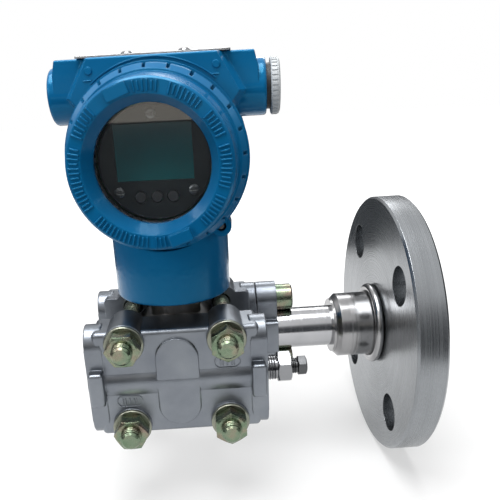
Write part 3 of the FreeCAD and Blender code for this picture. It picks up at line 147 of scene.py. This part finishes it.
def on_lathe(name, colour, roughness, rings):
    """Steel turned about the tube's axis, with its tool rings."""
    finish, nodes, links, shader, place = new_finish(name, colour, 1.0, roughness)
    outward = vector_step(nodes, links, "MULTIPLY", place, (0, 1, 1))
    along = nodes.new("ShaderNodeSeparateXYZ")
    links.new(place, along.inputs["Vector"])
    ring = nodes.new("ShaderNodeCombineXYZ")
    links.new(vector_step(nodes, links, "LENGTH", outward), ring.inputs["X"])
    links.new(along.outputs["X"], ring.inputs["Y"])
    fine = mottle(nodes, links, ring.outputs["Vector"], rings, 2.0)
    broad = mottle(nodes, links, ring.outputs["Vector"], rings / 9, 2.0)
    cloud = mottle(nodes, links, place, 28, 3.0)
    links.new(spread(nodes, links, fine, roughness - 0.05, roughness + 0.09), shader.inputs["Roughness"])
    both = number_step(nodes, links, "ADD", spread(nodes, links, broad, 0.0, 0.35),
                       spread(nodes, links, cloud, 0.0, 0.65))
    dark = tuple(part * 0.8 for part in colour)
    links.new(tints(nodes, links, both, (0.1, dark), (0.9, colour)), shader.inputs["Base Color"])
    links.new(vector_step(nodes, links, "CROSS_PRODUCT", outward, (1, 0, 0)), shader.inputs["Tangent"])
    shader.inputs["Anisotropic"].default_value = 0.6
    relief(nodes, links, shader, fine, 0.000006, 0.0004)
    return finish


dress(on_lathe("turned stainless", (0.31, 0.325, 0.34), 0.24, 2200), "process_flange")

# ---------------------------------------------------------------------------
# Hub and extension tube: the hub is turned bar, welded to the disc with one
# smooth bead; the tube is drawn and polished. The oil tube runs inside.
# ---------------------------------------------------------------------------
dress(on_lathe("hub steel", (0.36, 0.36, 0.365), 0.18, 1300), "seal_hub")
dress(on_lathe("polished tube", (0.48, 0.485, 0.50), 0.13, 700), "extension_tube", "fill_tube")

# ---------------------------------------------------------------------------
# Membranes: thin stainless sheet pressed into rings and welded at the rim,
# at the process flange and on both sides of the sensor cell.
# ---------------------------------------------------------------------------
dress(on_lathe("membrane steel", (0.66, 0.67, 0.68), 0.16, 900), "seal_diaphragm")
dress(on_lathe("isolator steel", (0.6, 0.61, 0.62), 0.2, 900), "front_isolator", "rear_isolator")

# ---------------------------------------------------------------------------
# Process flange castings and oval adapter: stainless investment castings,
# blasted with fine beads. Two small oval tablets are cast on each outer face.
# ---------------------------------------------------------------------------
cast, nodes, links, shader, place = new_finish("blasted casting", (0.36, 0.36, 0.38), 1.0, 0.42)
grit = mottle(nodes, links, place, 1700, 2.0)
patches = mottle(nodes, links, place, 45, 4.0)
links.new(tints(nodes, links, patches, (0.3, (0.165, 0.18, 0.205)), (0.7, (0.25, 0.27, 0.295))),
          shader.inputs["Base Color"])
links.new(spread(nodes, links, patches, 0.28, 0.42), shader.inputs["Roughness"])
relief(nodes, links, shader, grit, 0.00005, 0.0007)
dress(cast, "front_process_flange", "rear_process_flange", "oval_adapter")


def as_object(name, shape, finish):
    """Turns a bmesh into an object of the scene with one finish."""
    mesh = bpy.data.meshes.new(name)
    shape.to_mesh(mesh)
    shape.free()
    mesh.materials.append(finish)
    made = bpy.data.objects.new(name, mesh)
    bpy.context.collection.objects.link(made)
    return made


def finished(name, shape, finish, body):
    """Turns a bmesh into a piece that rides on a body."""
    bmesh.ops.recalc_face_normals(shape, faces=shape.faces)
    piece = as_object(name, shape, finish)
    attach(piece, body)


def capsule_outline(shape, half, radius, matrix):
    """A flat capsule face: two half rounds of a radius, half apart on each side."""
    made = bmesh.ops.create_circle(shape, cap_ends=True, segments=32, radius=radius)
    for vertex in made["verts"]:
        vertex.co.x += half if vertex.co.x > 0 else -half
    bmesh.ops.transform(shape, matrix=matrix, verts=made["verts"])
    return made["verts"][0].link_faces[0]


def raised_bar(shape, matrix, length, width, height):
    """A low bar with softened top edges, its foot sunk a little in the surface."""
    sink = 0.0002
    made = bmesh.ops.create_cube(shape, size=1.0)
    for vertex in made["verts"]:
        top = vertex.co.z > 0
        vertex.co.x *= length * (0.94 if top else 1.0)
        vertex.co.y *= width * (0.7 if top else 1.0)
        vertex.co.z = height if top else -sink
    rim = [edge for edge in {e for v in made["verts"] for e in v.link_edges}
           if all(v.co.z > 0 for v in edge.verts)]
    cut = bmesh.ops.bevel(shape, geom=rim, offset=height * 0.35, offset_type="OFFSET", segments=2,
                          profile=0.5, affect="EDGES", clamp_overlap=True, material=-1)
    seen = {v for v in made["verts"] if v.is_valid} | set(cut["verts"])
    bmesh.ops.transform(shape, matrix=matrix, verts=list(seen))


cell_low, cell_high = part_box("sensor_cell")
cell_x = (cell_low.x + cell_high.x) / 2
cell_y = (cell_low.y + cell_high.y) / 2
casting_face = 0.037
tablet_half, tablet_radius, tablet_rim, tablet_rise = 0.0036, 0.0034, 0.0007, 0.0005
tablet_bars = (-0.0036, -0.0023, 0, 0.0023, 0.0036)


def cast_tablet(name, across, up, outward):
    """A raised oval rim with plain bars inside, cast on a flange's outer face."""
    middle = Vector((cell_x + across, cell_y + outward * casting_face, up))
    put = Matrix.Translation(middle) @ Matrix.Rotation(math.radians(-90 * outward), 4, "X")
    shape = bmesh.new()
    oval = capsule_outline(shape, tablet_half, tablet_radius, put)
    rim = bmesh.ops.inset_region(shape, faces=[oval], use_boundary=True, thickness=tablet_rim, depth=0)
    raised = bmesh.ops.extrude_face_region(shape, geom=rim["faces"])
    top = [item for item in raised["geom"] if isinstance(item, bmesh.types.BMVert)]
    bmesh.ops.translate(shape, vec=Vector((0, outward * tablet_rise, 0)), verts=top)
    bmesh.ops.delete(shape, geom=[oval], context="FACES_ONLY")
    for bar in tablet_bars:
        spot = put @ Matrix.Translation((bar, 0, 0)) @ Matrix.Rotation(math.radians(90), 4, "Z")
        raised_bar(shape, spot, length=0.0036, width=0.0008, height=tablet_rise)
    finished(name, shape, cast, "sensor")


cast_tablet("tablet_front_left", -0.0266, -0.0099, -1)
cast_tablet("tablet_front_right", 0.0262, 0.0094, -1)
cast_tablet("tablet_rear_left", -0.0262, 0.0094, 1)
cast_tablet("tablet_rear_right", 0.0266, -0.0099, 1)

# ---------------------------------------------------------------------------
# Sensor cell: a plain stainless drum and threaded neck, its steel painted dark
# as shade for the shadow between the flanges, with soft white gaskets at its two
# faces and a rubber ring at the neck.
# ---------------------------------------------------------------------------
shade_darkened_steel, nodes, links, shader, place = new_finish("cell steel", (0.16, 0.16, 0.16), 1.0, 0.38)
stain = mottle(nodes, links, place, 60, 4.0)
# The dark tints are painted shade for the shadow between the flanges; the blotches only vary the tone at
# random.
links.new(tints(nodes, links, stain, (0.3, (0.10, 0.10, 0.105)), (0.7, (0.22, 0.21, 0.2))),
          shader.inputs["Base Color"])
relief(nodes, links, shader, mottle(nodes, links, place, 900, 2.0), 0.00003, 0.0004)
dress(shade_darkened_steel, "sensor_cell", "sensor_element")
gasket, nodes, links, shader, place = new_finish("gasket sheet", (0.7, 0.69, 0.64), 0.0, 0.6)
fibre = mottle(nodes, links, place, 800, 4.0)
links.new(tints(nodes, links, fibre, (0.3, (0.6, 0.59, 0.54)), (0.7, (0.76, 0.75, 0.7))),
          shader.inputs["Base Color"])
relief(nodes, links, shader, fibre, 0.00005)
dress(gasket, "front_cell_gasket", "rear_cell_gasket", "adapter_gasket")
rubber, nodes, links, shader, place = new_finish("black rubber", (0.02, 0.02, 0.021), 0.0, 0.62)
skin = mottle(nodes, links, place, 1200, 2.0)
links.new(spread(nodes, links, skin, 0.5, 0.72), shader.inputs["Roughness"])
relief(nodes, links, shader, skin, 0.00004)
dress(rubber, "neck_seal", "window_gasket", "front_cover_seal", "rear_cover_seal", "zero_spring",
      "span_spring", "conduit_plug_seal")

# ---------------------------------------------------------------------------
# Bolts, nuts, washers and cap screws: steel plated with yellow zinc, whose
# colour shifts between straw, green and rose where the coat is thin.
# ---------------------------------------------------------------------------
zinc, nodes, links, shader, place = new_finish("yellow zinc", (0.5, 0.47, 0.22), 1.0, 0.24)
shift = mottle(nodes, links, place, 130, 2.5)
links.new(tints(nodes, links, shift, (0.30, (0.14, 0.20, 0.13)), (0.45, (0.18, 0.23, 0.16)),
                (0.56, (0.23, 0.24, 0.17)), (0.68, (0.25, 0.20, 0.16))), shader.inputs["Base Color"])
links.new(spread(nodes, links, mottle(nodes, links, place, 500, 3.0), 0.16, 0.34), shader.inputs["Roughness"])
relief(nodes, links, shader, mottle(nodes, links, place, 1500, 2.0), 0.00002, 0.0004)
dress(zinc, "flange_bolts", "flange_nuts", "adapter_screws")
washer, nodes, links, shader, place = new_finish("zinc washer", (0.42, 0.42, 0.34), 1.0, 0.3)
worn = mottle(nodes, links, place, 160, 3.0)
links.new(tints(nodes, links, worn, (0.3, (0.21, 0.23, 0.19)), (0.7, (0.30, 0.30, 0.24))),
          shader.inputs["Base Color"])
relief(nodes, links, shader, mottle(nodes, links, place, 1500, 2.0), 0.00002, 0.0003)
dress(washer, "flange_washers")


def thread(shape, foot, crest, pitch, turns, matrix):
    """A helical ridge about Z, from a foot radius to a crest radius."""
    steps = 28
    flank = pitch * 0.42
    corners = [shape.verts.new((foot, 0, -flank)), shape.verts.new((crest, 0, 0)),
               shape.verts.new((foot, 0, flank))]
    start = shape.faces.new(corners)
    bmesh.ops.spin(shape, geom=[start, *start.edges, *corners], cent=(0, 0, 0), axis=(0, 0, 1),
                   dvec=(0, 0, pitch / steps), angle=math.tau * turns, steps=int(steps * turns))
    grown = set(corners)
    reach = list(corners)
    while reach:
        for edge in reach.pop().link_edges:
            for vertex in edge.verts:
                if vertex not in grown:
                    grown.add(vertex)
                    reach.append(vertex)
    bmesh.ops.transform(shape, matrix=matrix, verts=list(grown))


def cut_thread(name, finish, body, places, foot, crest, pitch, turns):
    """A piece made of one thread, or of equal threads at several places."""
    shape = bmesh.new()
    for matrix in places:
        thread(shape, foot, crest, pitch, turns, matrix)
    finished(name, shape, finish, body)


bolt_across, bolt_up = 0.0263, 0.0239
thread_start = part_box("flange_nuts")[0].y + 0.0005
towards_front = Matrix.Rotation(math.radians(90), 4, "X")
bolt_ends = [Matrix.Translation((cell_x + column * bolt_across, thread_start, row * bolt_up)) @ towards_front
             for column in (-1, 1) for row in (-1, 1)]
cut_thread("bolt_threads", zinc, "sensor", bolt_ends,
           foot=0.00495, crest=0.00535, pitch=0.0015, turns=2.9)

# ---------------------------------------------------------------------------
# Vent valve: a bright stainless body with a large hexagon screwed in the near
# port, and a smaller, darker bleed screw in its end. Both threads show.
# ---------------------------------------------------------------------------
bright, nodes, links, shader, place = new_finish("bright steel", (0.25, 0.255, 0.265), 1.0, 0.16)
haze = mottle(nodes, links, place, 240, 3.0)
links.new(spread(nodes, links, haze, 0.1, 0.24), shader.inputs["Roughness"])
relief(nodes, links, shader, mottle(nodes, links, place, 1800, 2.0), 0.00001, 0.0004)
dress(bright, "vent_valve_body", "rear_port_plug", "nameplate_screws")
dull, nodes, links, shader, place = new_finish("dark steel", (0.10, 0.103, 0.107), 1.0, 0.28)
links.new(spread(nodes, links, mottle(nodes, links, place, 300, 3.0), 0.24, 0.42), shader.inputs["Roughness"])
relief(nodes, links, shader, mottle(nodes, links, place, 1500, 2.0), 0.00002, 0.0003)
dress(dull, "bleed_screw", "housing_set_screw", "cover_lock_screw", "display_screws")
vent_low, vent_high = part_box("vent_valve_body")
vent_axis = (vent_low.y + vent_high.y) / 2
casting_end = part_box("front_process_flange")[1].x
towards_right = Matrix.Rotation(math.radians(90), 4, "Y")
cut_thread("vent_thread", bright, "sensor",
           [Matrix.Translation((casting_end + 0.0006, vent_axis, 0)) @ towards_right],
           foot=0.00635, crest=0.0069, pitch=0.0013, turns=3.6)
cut_thread("bleed_thread", dull, "bleed",
           [Matrix.Translation((vent_high.x + 0.0005, vent_axis, 0)) @ towards_right],
           foot=0.00385, crest=0.0043, pitch=0.001, turns=2.6)

# ---------------------------------------------------------------------------
# Housing and covers: die-cast aluminium under thick glossy blue enamel, which
# rounds every edge and keeps a slight orange-peel skin. Plain raised bars are
# cast on both covers, and two small marks and a thin arc on the roof's front.
# ---------------------------------------------------------------------------
enamel, nodes, links, shader, place = new_finish("blue enamel", (0.003, 0.098, 0.26), 0.0, 0.17)
wash = mottle(nodes, links, place, 20, 2.0)
links.new(tints(nodes, links, wash, (0.3, (0.002, 0.092, 0.23)), (0.7, (0.004, 0.118, 0.275))),
          shader.inputs["Base Color"])
peel = mottle(nodes, links, place, 420, 1.5)
relief(nodes, links, shader, peel, 0.00006, 0.0009)
shader.inputs["Specular IOR Level"].default_value = 0.5
shader.inputs["Specular Tint"].default_value = (0.12, 0.65, 1.0, 1)
shader.inputs["Coat Weight"].default_value = 0.04
shader.inputs["Coat Roughness"].default_value = 0.05
dress(enamel, "housing", "front_cover", "rear_cover")

head_turn = Matrix.Translation((cell_x, cell_y, 0)) @ Matrix.Rotation(math.radians(-4), 4, "Z")
barrel_up = 0.1135
roof_front = -0.022
band_radius = 0.0332
long_bar, short_bar = 0.0052, 0.0042
bar_groups = [(97, 6, 3.3), (71, 8, 3.3), (38, 6, 3.3), (13, 10, 3.3), (-25, 8, 3.3),
              (-83, 3, 3.4), (-97, 13, 3.5), (-150, 14, 3.5), (-205, 7, 3.5)]


def ring_of_bars(name, face, body, outward):
    """Plain raised bars on a cover's band, in groups of a start, a count and a step."""
    turn = Matrix.Rotation(math.radians(-90 * outward), 4, "X")
    put = head_turn @ Matrix.Translation((0, face, barrel_up)) @ turn
    shape = bmesh.new()
    for start, count, step in bar_groups:
        for bar in range(count):
            angle = math.radians(start - bar * step)
            spot = put @ Matrix.Rotation(angle, 4, "Z") @ Matrix.Translation((band_radius, 0, 0))
            length = short_bar if bar % 3 == 1 else long_bar
            raised_bar(shape, spot, length, width=0.0011, height=0.0008)
    finished(name, shape, enamel, body)


ring_of_bars("front_cover_bars", -0.0565, "front_lid", -1)
ring_of_bars("rear_cover_bars", 0.0500, "rear_lid", 1)

mark_across, mark_up = 0.0297, 0.1542
shape = bmesh.new()
for side in (-1, 1):
    spot = Vector((side * mark_across, roof_front, mark_up))
    bmesh.ops.create_cone(shape, cap_ends=True, segments=32, radius1=0.0021, radius2=0.0017, depth=0.0010,
                          matrix=head_turn @ Matrix.Translation(spot) @ towards_front)
    below = spot + Vector((-0.0008, 0, -0.0042))
    raised_bar(shape, head_turn @ Matrix.Translation(below) @ towards_front,
               length=0.0042, width=0.0009, height=0.0004)
rib_start, rib_sweep = math.radians(50), math.radians(80)
put = (head_turn @ Matrix.Translation((0, roof_front, barrel_up)) @ towards_front
       @ Matrix.Rotation(rib_start, 4, "Z"))
outline = [shape.verts.new(put @ Vector((radius, 0, rise))) for radius, rise in
           ((0.0450, -0.0003), (0.0452, 0.0005), (0.0458, 0.0005), (0.0460, -0.0003))]
sides = [shape.edges.new(pair) for pair in zip(outline, outline[1:])]
bmesh.ops.spin(shape, geom=[*outline, *sides], cent=put.translation, axis=put.to_3x3() @ Vector((0, 0, 1)),
               angle=rib_sweep, steps=40)
bmesh.ops.holes_fill(shape, edges=[edge for edge in shape.edges if edge.is_boundary], sides=4)
finished("roof_marks", shape, enamel, "head")

# ---------------------------------------------------------------------------
# Conduit entries: a cut thread in the left boss, which is open for the cable
# gland; the right one carries a ribbed grey plug on a rubber ring.
# ---------------------------------------------------------------------------
bare, nodes, links, shader, place = new_finish("cut aluminium", (0.5, 0.5, 0.5), 1.0, 0.3)
links.new(spread(nodes, links, mottle(nodes, links, place, 400, 3.0), 0.24, 0.4), shader.inputs["Roughness"])
dress(bare, "glass_retainer")
entry_start, conduit_up = -0.0522, 0.1433
cut_thread("cable_entry_thread", bare, "head",
           [head_turn @ Matrix.Translation((entry_start, 0, conduit_up)) @ towards_right],
           foot=0.00925, crest=0.0087, pitch=0.0018, turns=9)
moulded, nodes, links, shader, place = new_finish("grey moulding", (0.42, 0.445, 0.46), 0.0, 0.42)
flow = mottle(nodes, links, place, 90, 3.0)
links.new(tints(nodes, links, flow, (0.3, (0.38, 0.405, 0.42)), (0.7, (0.46, 0.485, 0.50))),
          shader.inputs["Base Color"])
relief(nodes, links, shader, mottle(nodes, links, place, 1400, 2.0), 0.00003, 0.0004)
dress(moulded, "conduit_plug")

# ---------------------------------------------------------------------------
# Nameplate and buttons: a bare stainless plate, brushed along its length and
# held by two screws, over two dark moulded plungers in the roof. The three
# keys below the display are moulded of the same plastic.
# ---------------------------------------------------------------------------
brushed, nodes, links, shader, place = new_finish("brushed plate", (0.46, 0.47, 0.48), 1.0, 0.26)
grain = mottle(nodes, links, place, 120, 4.0, (1, 30, 30))
links.new(spread(nodes, links, grain, 0.18, 0.4), shader.inputs["Roughness"])
links.new(tints(nodes, links, grain, (0.3, (0.40, 0.41, 0.42)), (0.7, (0.52, 0.53, 0.54))),
          shader.inputs["Base Color"])
relief(nodes, links, shader, grain, 0.00001, 0.0003)
dress(brushed, "nameplate")
plunger, nodes, links, shader, place = new_finish("dark plastic", (0.011, 0.012, 0.014), 0.0, 0.45)
relief(nodes, links, shader, mottle(nodes, links, place, 1300, 2.0), 0.00003, 0.0003)
dress(plunger, "zero_button", "span_button", "left_key", "middle_key", "right_key")

# ---------------------------------------------------------------------------
# Display: a black moulded bezel round a dark teal liquid-crystal glass, seen
# through a thick toughened window that a threaded ring holds in the cover.
# ---------------------------------------------------------------------------
bezel, nodes, links, shader, place = new_finish("bezel plastic", (0.006, 0.009, 0.011), 0.0, 0.38)
shader.inputs["Specular IOR Level"].default_value = 0.3
links.new(spread(nodes, links, mottle(nodes, links, place, 700, 3.0), 0.32, 0.48), shader.inputs["Roughness"])
relief(nodes, links, shader, mottle(nodes, links, place, 1500, 2.0), 0.00003, 0.0004)
dress(bezel, "display_bezel", "terminal_block")
crystal, nodes, links, shader, place = new_finish("liquid crystal", (0.01, 0.07, 0.075), 0.0, 0.12)
height = nodes.new("ShaderNodeSeparateXYZ")
links.new(place, height.inputs["Vector"])
glass_low, glass_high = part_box("display_glass")
# Painted light and reflection: the crystal is brighter teal at the bottom and darker, greyer at the top.
painted_light_fade = spread(nodes, links, height.outputs["Z"], 0.0, 1.0, glass_low.z, glass_high.z)
links.new(tints(nodes, links, painted_light_fade, (0.0, (0.006, 0.085, 0.09)), (0.45, (0.006, 0.06, 0.066)),
                (1.0, (0.016, 0.05, 0.058))), shader.inputs["Base Color"])
dress(crystal, "display_glass")


def any_ray(nodes, links, kind, *others):
    """1 for a light ray of any of these kinds, and 0 for all others."""
    rays = nodes.new("ShaderNodeLightPath").outputs
    found = rays[kind]
    for other in others:
        found = number_step(nodes, links, "MAXIMUM", found, rays[other])
    return found


window, nodes, links, shader, _ = new_finish("window glass", (0.95, 0.98, 0.98), 0.0, 0.0)
shader.inputs["Transmission Weight"].default_value = 1.0
shader.inputs["IOR"].default_value = 1.5
clear = nodes.new("ShaderNodeBsdfTransparent")
passing = nodes.new("ShaderNodeMixShader")
links.new(any_ray(nodes, links, "Is Shadow Ray", "Is Diffuse Ray"), passing.inputs["Fac"])
links.new(shader.outputs["BSDF"], passing.inputs[1])
links.new(clear.outputs["BSDF"], passing.inputs[2])
links.new(passing.outputs["Shader"], nodes["Material Output"].inputs["Surface"])
dress(window, "window_glass")

# ---------------------------------------------------------------------------
# Boards and terminals inside: green lacquered boards on brass standoffs, and
# plain brass screws in the wiring room.
# ---------------------------------------------------------------------------
lacquer, nodes, links, shader, place = new_finish("board lacquer", (0.01, 0.14, 0.06), 0.0, 0.3)
tracks = mottle(nodes, links, place, 260, 0.0, (1, 1, 4))
links.new(tints(nodes, links, tracks, (0.46, (0.008, 0.11, 0.045)), (0.5, (0.03, 0.22, 0.09))),
          shader.inputs["Base Color"])
dress(lacquer, "electronics_board", "display_board")
brass, nodes, links, shader, place = new_finish("plain brass", (0.6, 0.44, 0.17), 1.0, 0.25)
links.new(spread(nodes, links, mottle(nodes, links, place, 400, 3.0), 0.18, 0.36), shader.inputs["Roughness"])
relief(nodes, links, shader, mottle(nodes, links, place, 1500, 2.0), 0.00002, 0.0003)
dress(brass, "board_posts", "terminal_screws", "ground_screw")

# ---------------------------------------------------------------------------
# Studio: a pale floor and a white surround. Grey walls and one warm panel show
# only in the steel, the paint and the glass. Four soft lamps light the piece.
# ---------------------------------------------------------------------------
ground = solid_low[2]


def staged(name, shape, finish, only_mirrored=False):
    """Turns a bmesh into a thing of the studio, which may show in shiny pieces only."""
    thing = as_object(name, shape, finish)
    if only_mirrored:
        thing.visible_camera = False
        thing.visible_diffuse = False
        thing.visible_shadow = False


def glowing(name):
    """A material that only gives light."""
    finish = bpy.data.materials.new(name)
    finish.use_nodes = True
    nodes, links = finish.node_tree.nodes, finish.node_tree.links
    nodes.remove(nodes["Principled BSDF"])
    glow = nodes.new("ShaderNodeEmission")
    links.new(glow.outputs["Emission"], nodes["Material Output"].inputs["Surface"])
    return finish, nodes, links, glow


pale, nodes, links, shader, place = new_finish("pale floor", (0.4, 0.4, 0.4), 0.0, 0.9)
shader.inputs["Specular IOR Level"].default_value = 0.0
glow = nodes.new("ShaderNodeEmission")
glow.inputs["Color"].default_value = (1, 1, 1, 1)
# The floor's glow is painted weaker close to the cell: a painted shade round the piece, which also darkens
# its reflections in the steel.
away = vector_step(nodes, links, "DISTANCE", place, (cell_x, cell_y, ground))
seen = any_ray(nodes, links, "Is Camera Ray", "Is Glossy Ray", "Is Transmission Ray")
links.new(number_step(nodes, links, "MULTIPLY", seen, spread(nodes, links, away, 0.5, 1.0, 0.15, 0.9)),
          glow.inputs["Strength"])
joined = nodes.new("ShaderNodeAddShader")
links.new(shader.outputs["BSDF"], joined.inputs[0])
links.new(glow.outputs["Emission"], joined.inputs[1])
links.new(joined.outputs["Shader"], nodes["Material Output"].inputs["Surface"])
shape = bmesh.new()
bmesh.ops.create_circle(shape, cap_ends=True, segments=96, radius=4.0,
                        matrix=Matrix.Translation((cell_x, cell_y, ground - 0.0002)))
staged("floor", shape, pale)

world = bpy.data.worlds.new("studio")
bpy.context.scene.world = world
world.use_nodes = True
nodes, links = world.node_tree.nodes, world.node_tree.links
around = nodes["Background"]
around.inputs["Color"].default_value = (1, 1, 1, 1)
seen = any_ray(nodes, links, "Is Camera Ray", "Is Glossy Ray", "Is Transmission Ray")
links.new(spread(nodes, links, seen, 0.22, 1.0, 0.0, 1.0), around.inputs["Strength"])

wall_foot, wall_top, wall_high = 0.46, 0.62, 0.46
grey, nodes, links, glow = glowing("studio grey")
place = nodes.new("ShaderNodeTexCoord").outputs["Object"]
split = nodes.new("ShaderNodeSeparateXYZ")
links.new(vector_step(nodes, links, "SUBTRACT", place, (cell_x, cell_y, ground)), split.inputs["Vector"])
climb = spread(nodes, links, split.outputs["Z"], 0.0, 1.0, 0.0, wall_high)
links.new(tints(nodes, links, climb, (0.0, (0.066, 0.073, 0.08)), (0.5, (0.115, 0.122, 0.13)),
                (0.75, (0.3, 0.3, 0.31)), (1.0, (0.85, 0.85, 0.86))), glow.inputs["Color"])
links.new(spread(nodes, links, split.outputs["X"], 1.3, 0.7, -0.5, 0.5), glow.inputs["Strength"])
shape = bmesh.new()
ends = [shape.verts.new((wall_foot, 0, ground + 0.002)), shape.verts.new((wall_top, 0, ground + wall_high))]
side = shape.edges.new(ends)
bmesh.ops.spin(shape, geom=[*ends, side], cent=(0, 0, 0), axis=(0, 0, 1), angle=math.tau, steps=64,
               use_merge=True)
bmesh.ops.translate(shape, vec=Vector((cell_x, cell_y, 0)), verts=shape.verts)
staged("studio_walls", shape, grey, only_mirrored=True)

silk, nodes, links, glow = glowing("panel silk")
glow.inputs["Color"].default_value = (1.0, 0.93, 0.83, 1)
glow.inputs["Strength"].default_value = 1.3
panel_middle = Vector((cell_x - 0.10, cell_y - 0.42, ground + 0.215))
panel_size = (0.30, 0.05, 1, 1)
shape = bmesh.new()
bmesh.ops.create_grid(shape, x_segments=6, y_segments=2, size=0.5,
                      matrix=Matrix.Translation(panel_middle) @ towards_front @ Matrix.Diagonal(panel_size))
staged("soft_panel", shape, silk, only_mirrored=True)

middle = Vector((cell_x, cell_y, 0.05))
for name, spot, size, power in (("overhead", (-0.1, -0.15, 0.9), 0.7, 14),
                                ("left", (-0.9, -0.6, 0.5), 0.4, 5),
                                ("right", (0.8, -0.7, 0.35), 0.4, 2),
                                ("behind", (0.2, 0.9, 0.5), 0.5, 5)):
    data = bpy.data.lights.new(name, "AREA")
    data.shape = "SQUARE"
    data.size = size
    data.energy = power
    lamp = bpy.data.objects.new(name, data)
    bpy.context.collection.objects.link(lamp)
    facing = (-Vector(spot)).to_track_quat("-Z", "Y").to_matrix().to_4x4()
    lamp.matrix_world = Matrix.Translation(middle + Vector(spot)) @ facing

eye_spot = (cell_x + 0.01477, cell_y - 0.32017, 0.14577)
yaw, pitch, roll = (math.radians(angle) for angle in (0.98, 20.59, 3.23))
ahead = Vector((math.sin(yaw) * math.cos(pitch), math.cos(yaw) * math.cos(pitch), -math.sin(pitch)))
level_right = Vector((math.cos(yaw), -math.sin(yaw), 0))
level_up = level_right.cross(ahead)
right = math.cos(roll) * level_right - math.sin(roll) * level_up
up = math.sin(roll) * level_right + math.cos(roll) * level_up
eye = bpy.data.cameras.new("camera")
eye.sensor_width = 36
eye.lens = 43.18
eye.shift_x = 0.0763
eye.shift_y = 0.1185
eye.clip_start = 0.01
camera = bpy.data.objects.new("camera", eye)
bpy.context.collection.objects.link(camera)
facing = Matrix((right, up, -ahead)).transposed().to_4x4()
camera.matrix_world = Matrix.Translation(eye_spot) @ facing
bpy.context.scene.camera = camera
bpy.context.scene.view_settings.view_transform = "Standard"
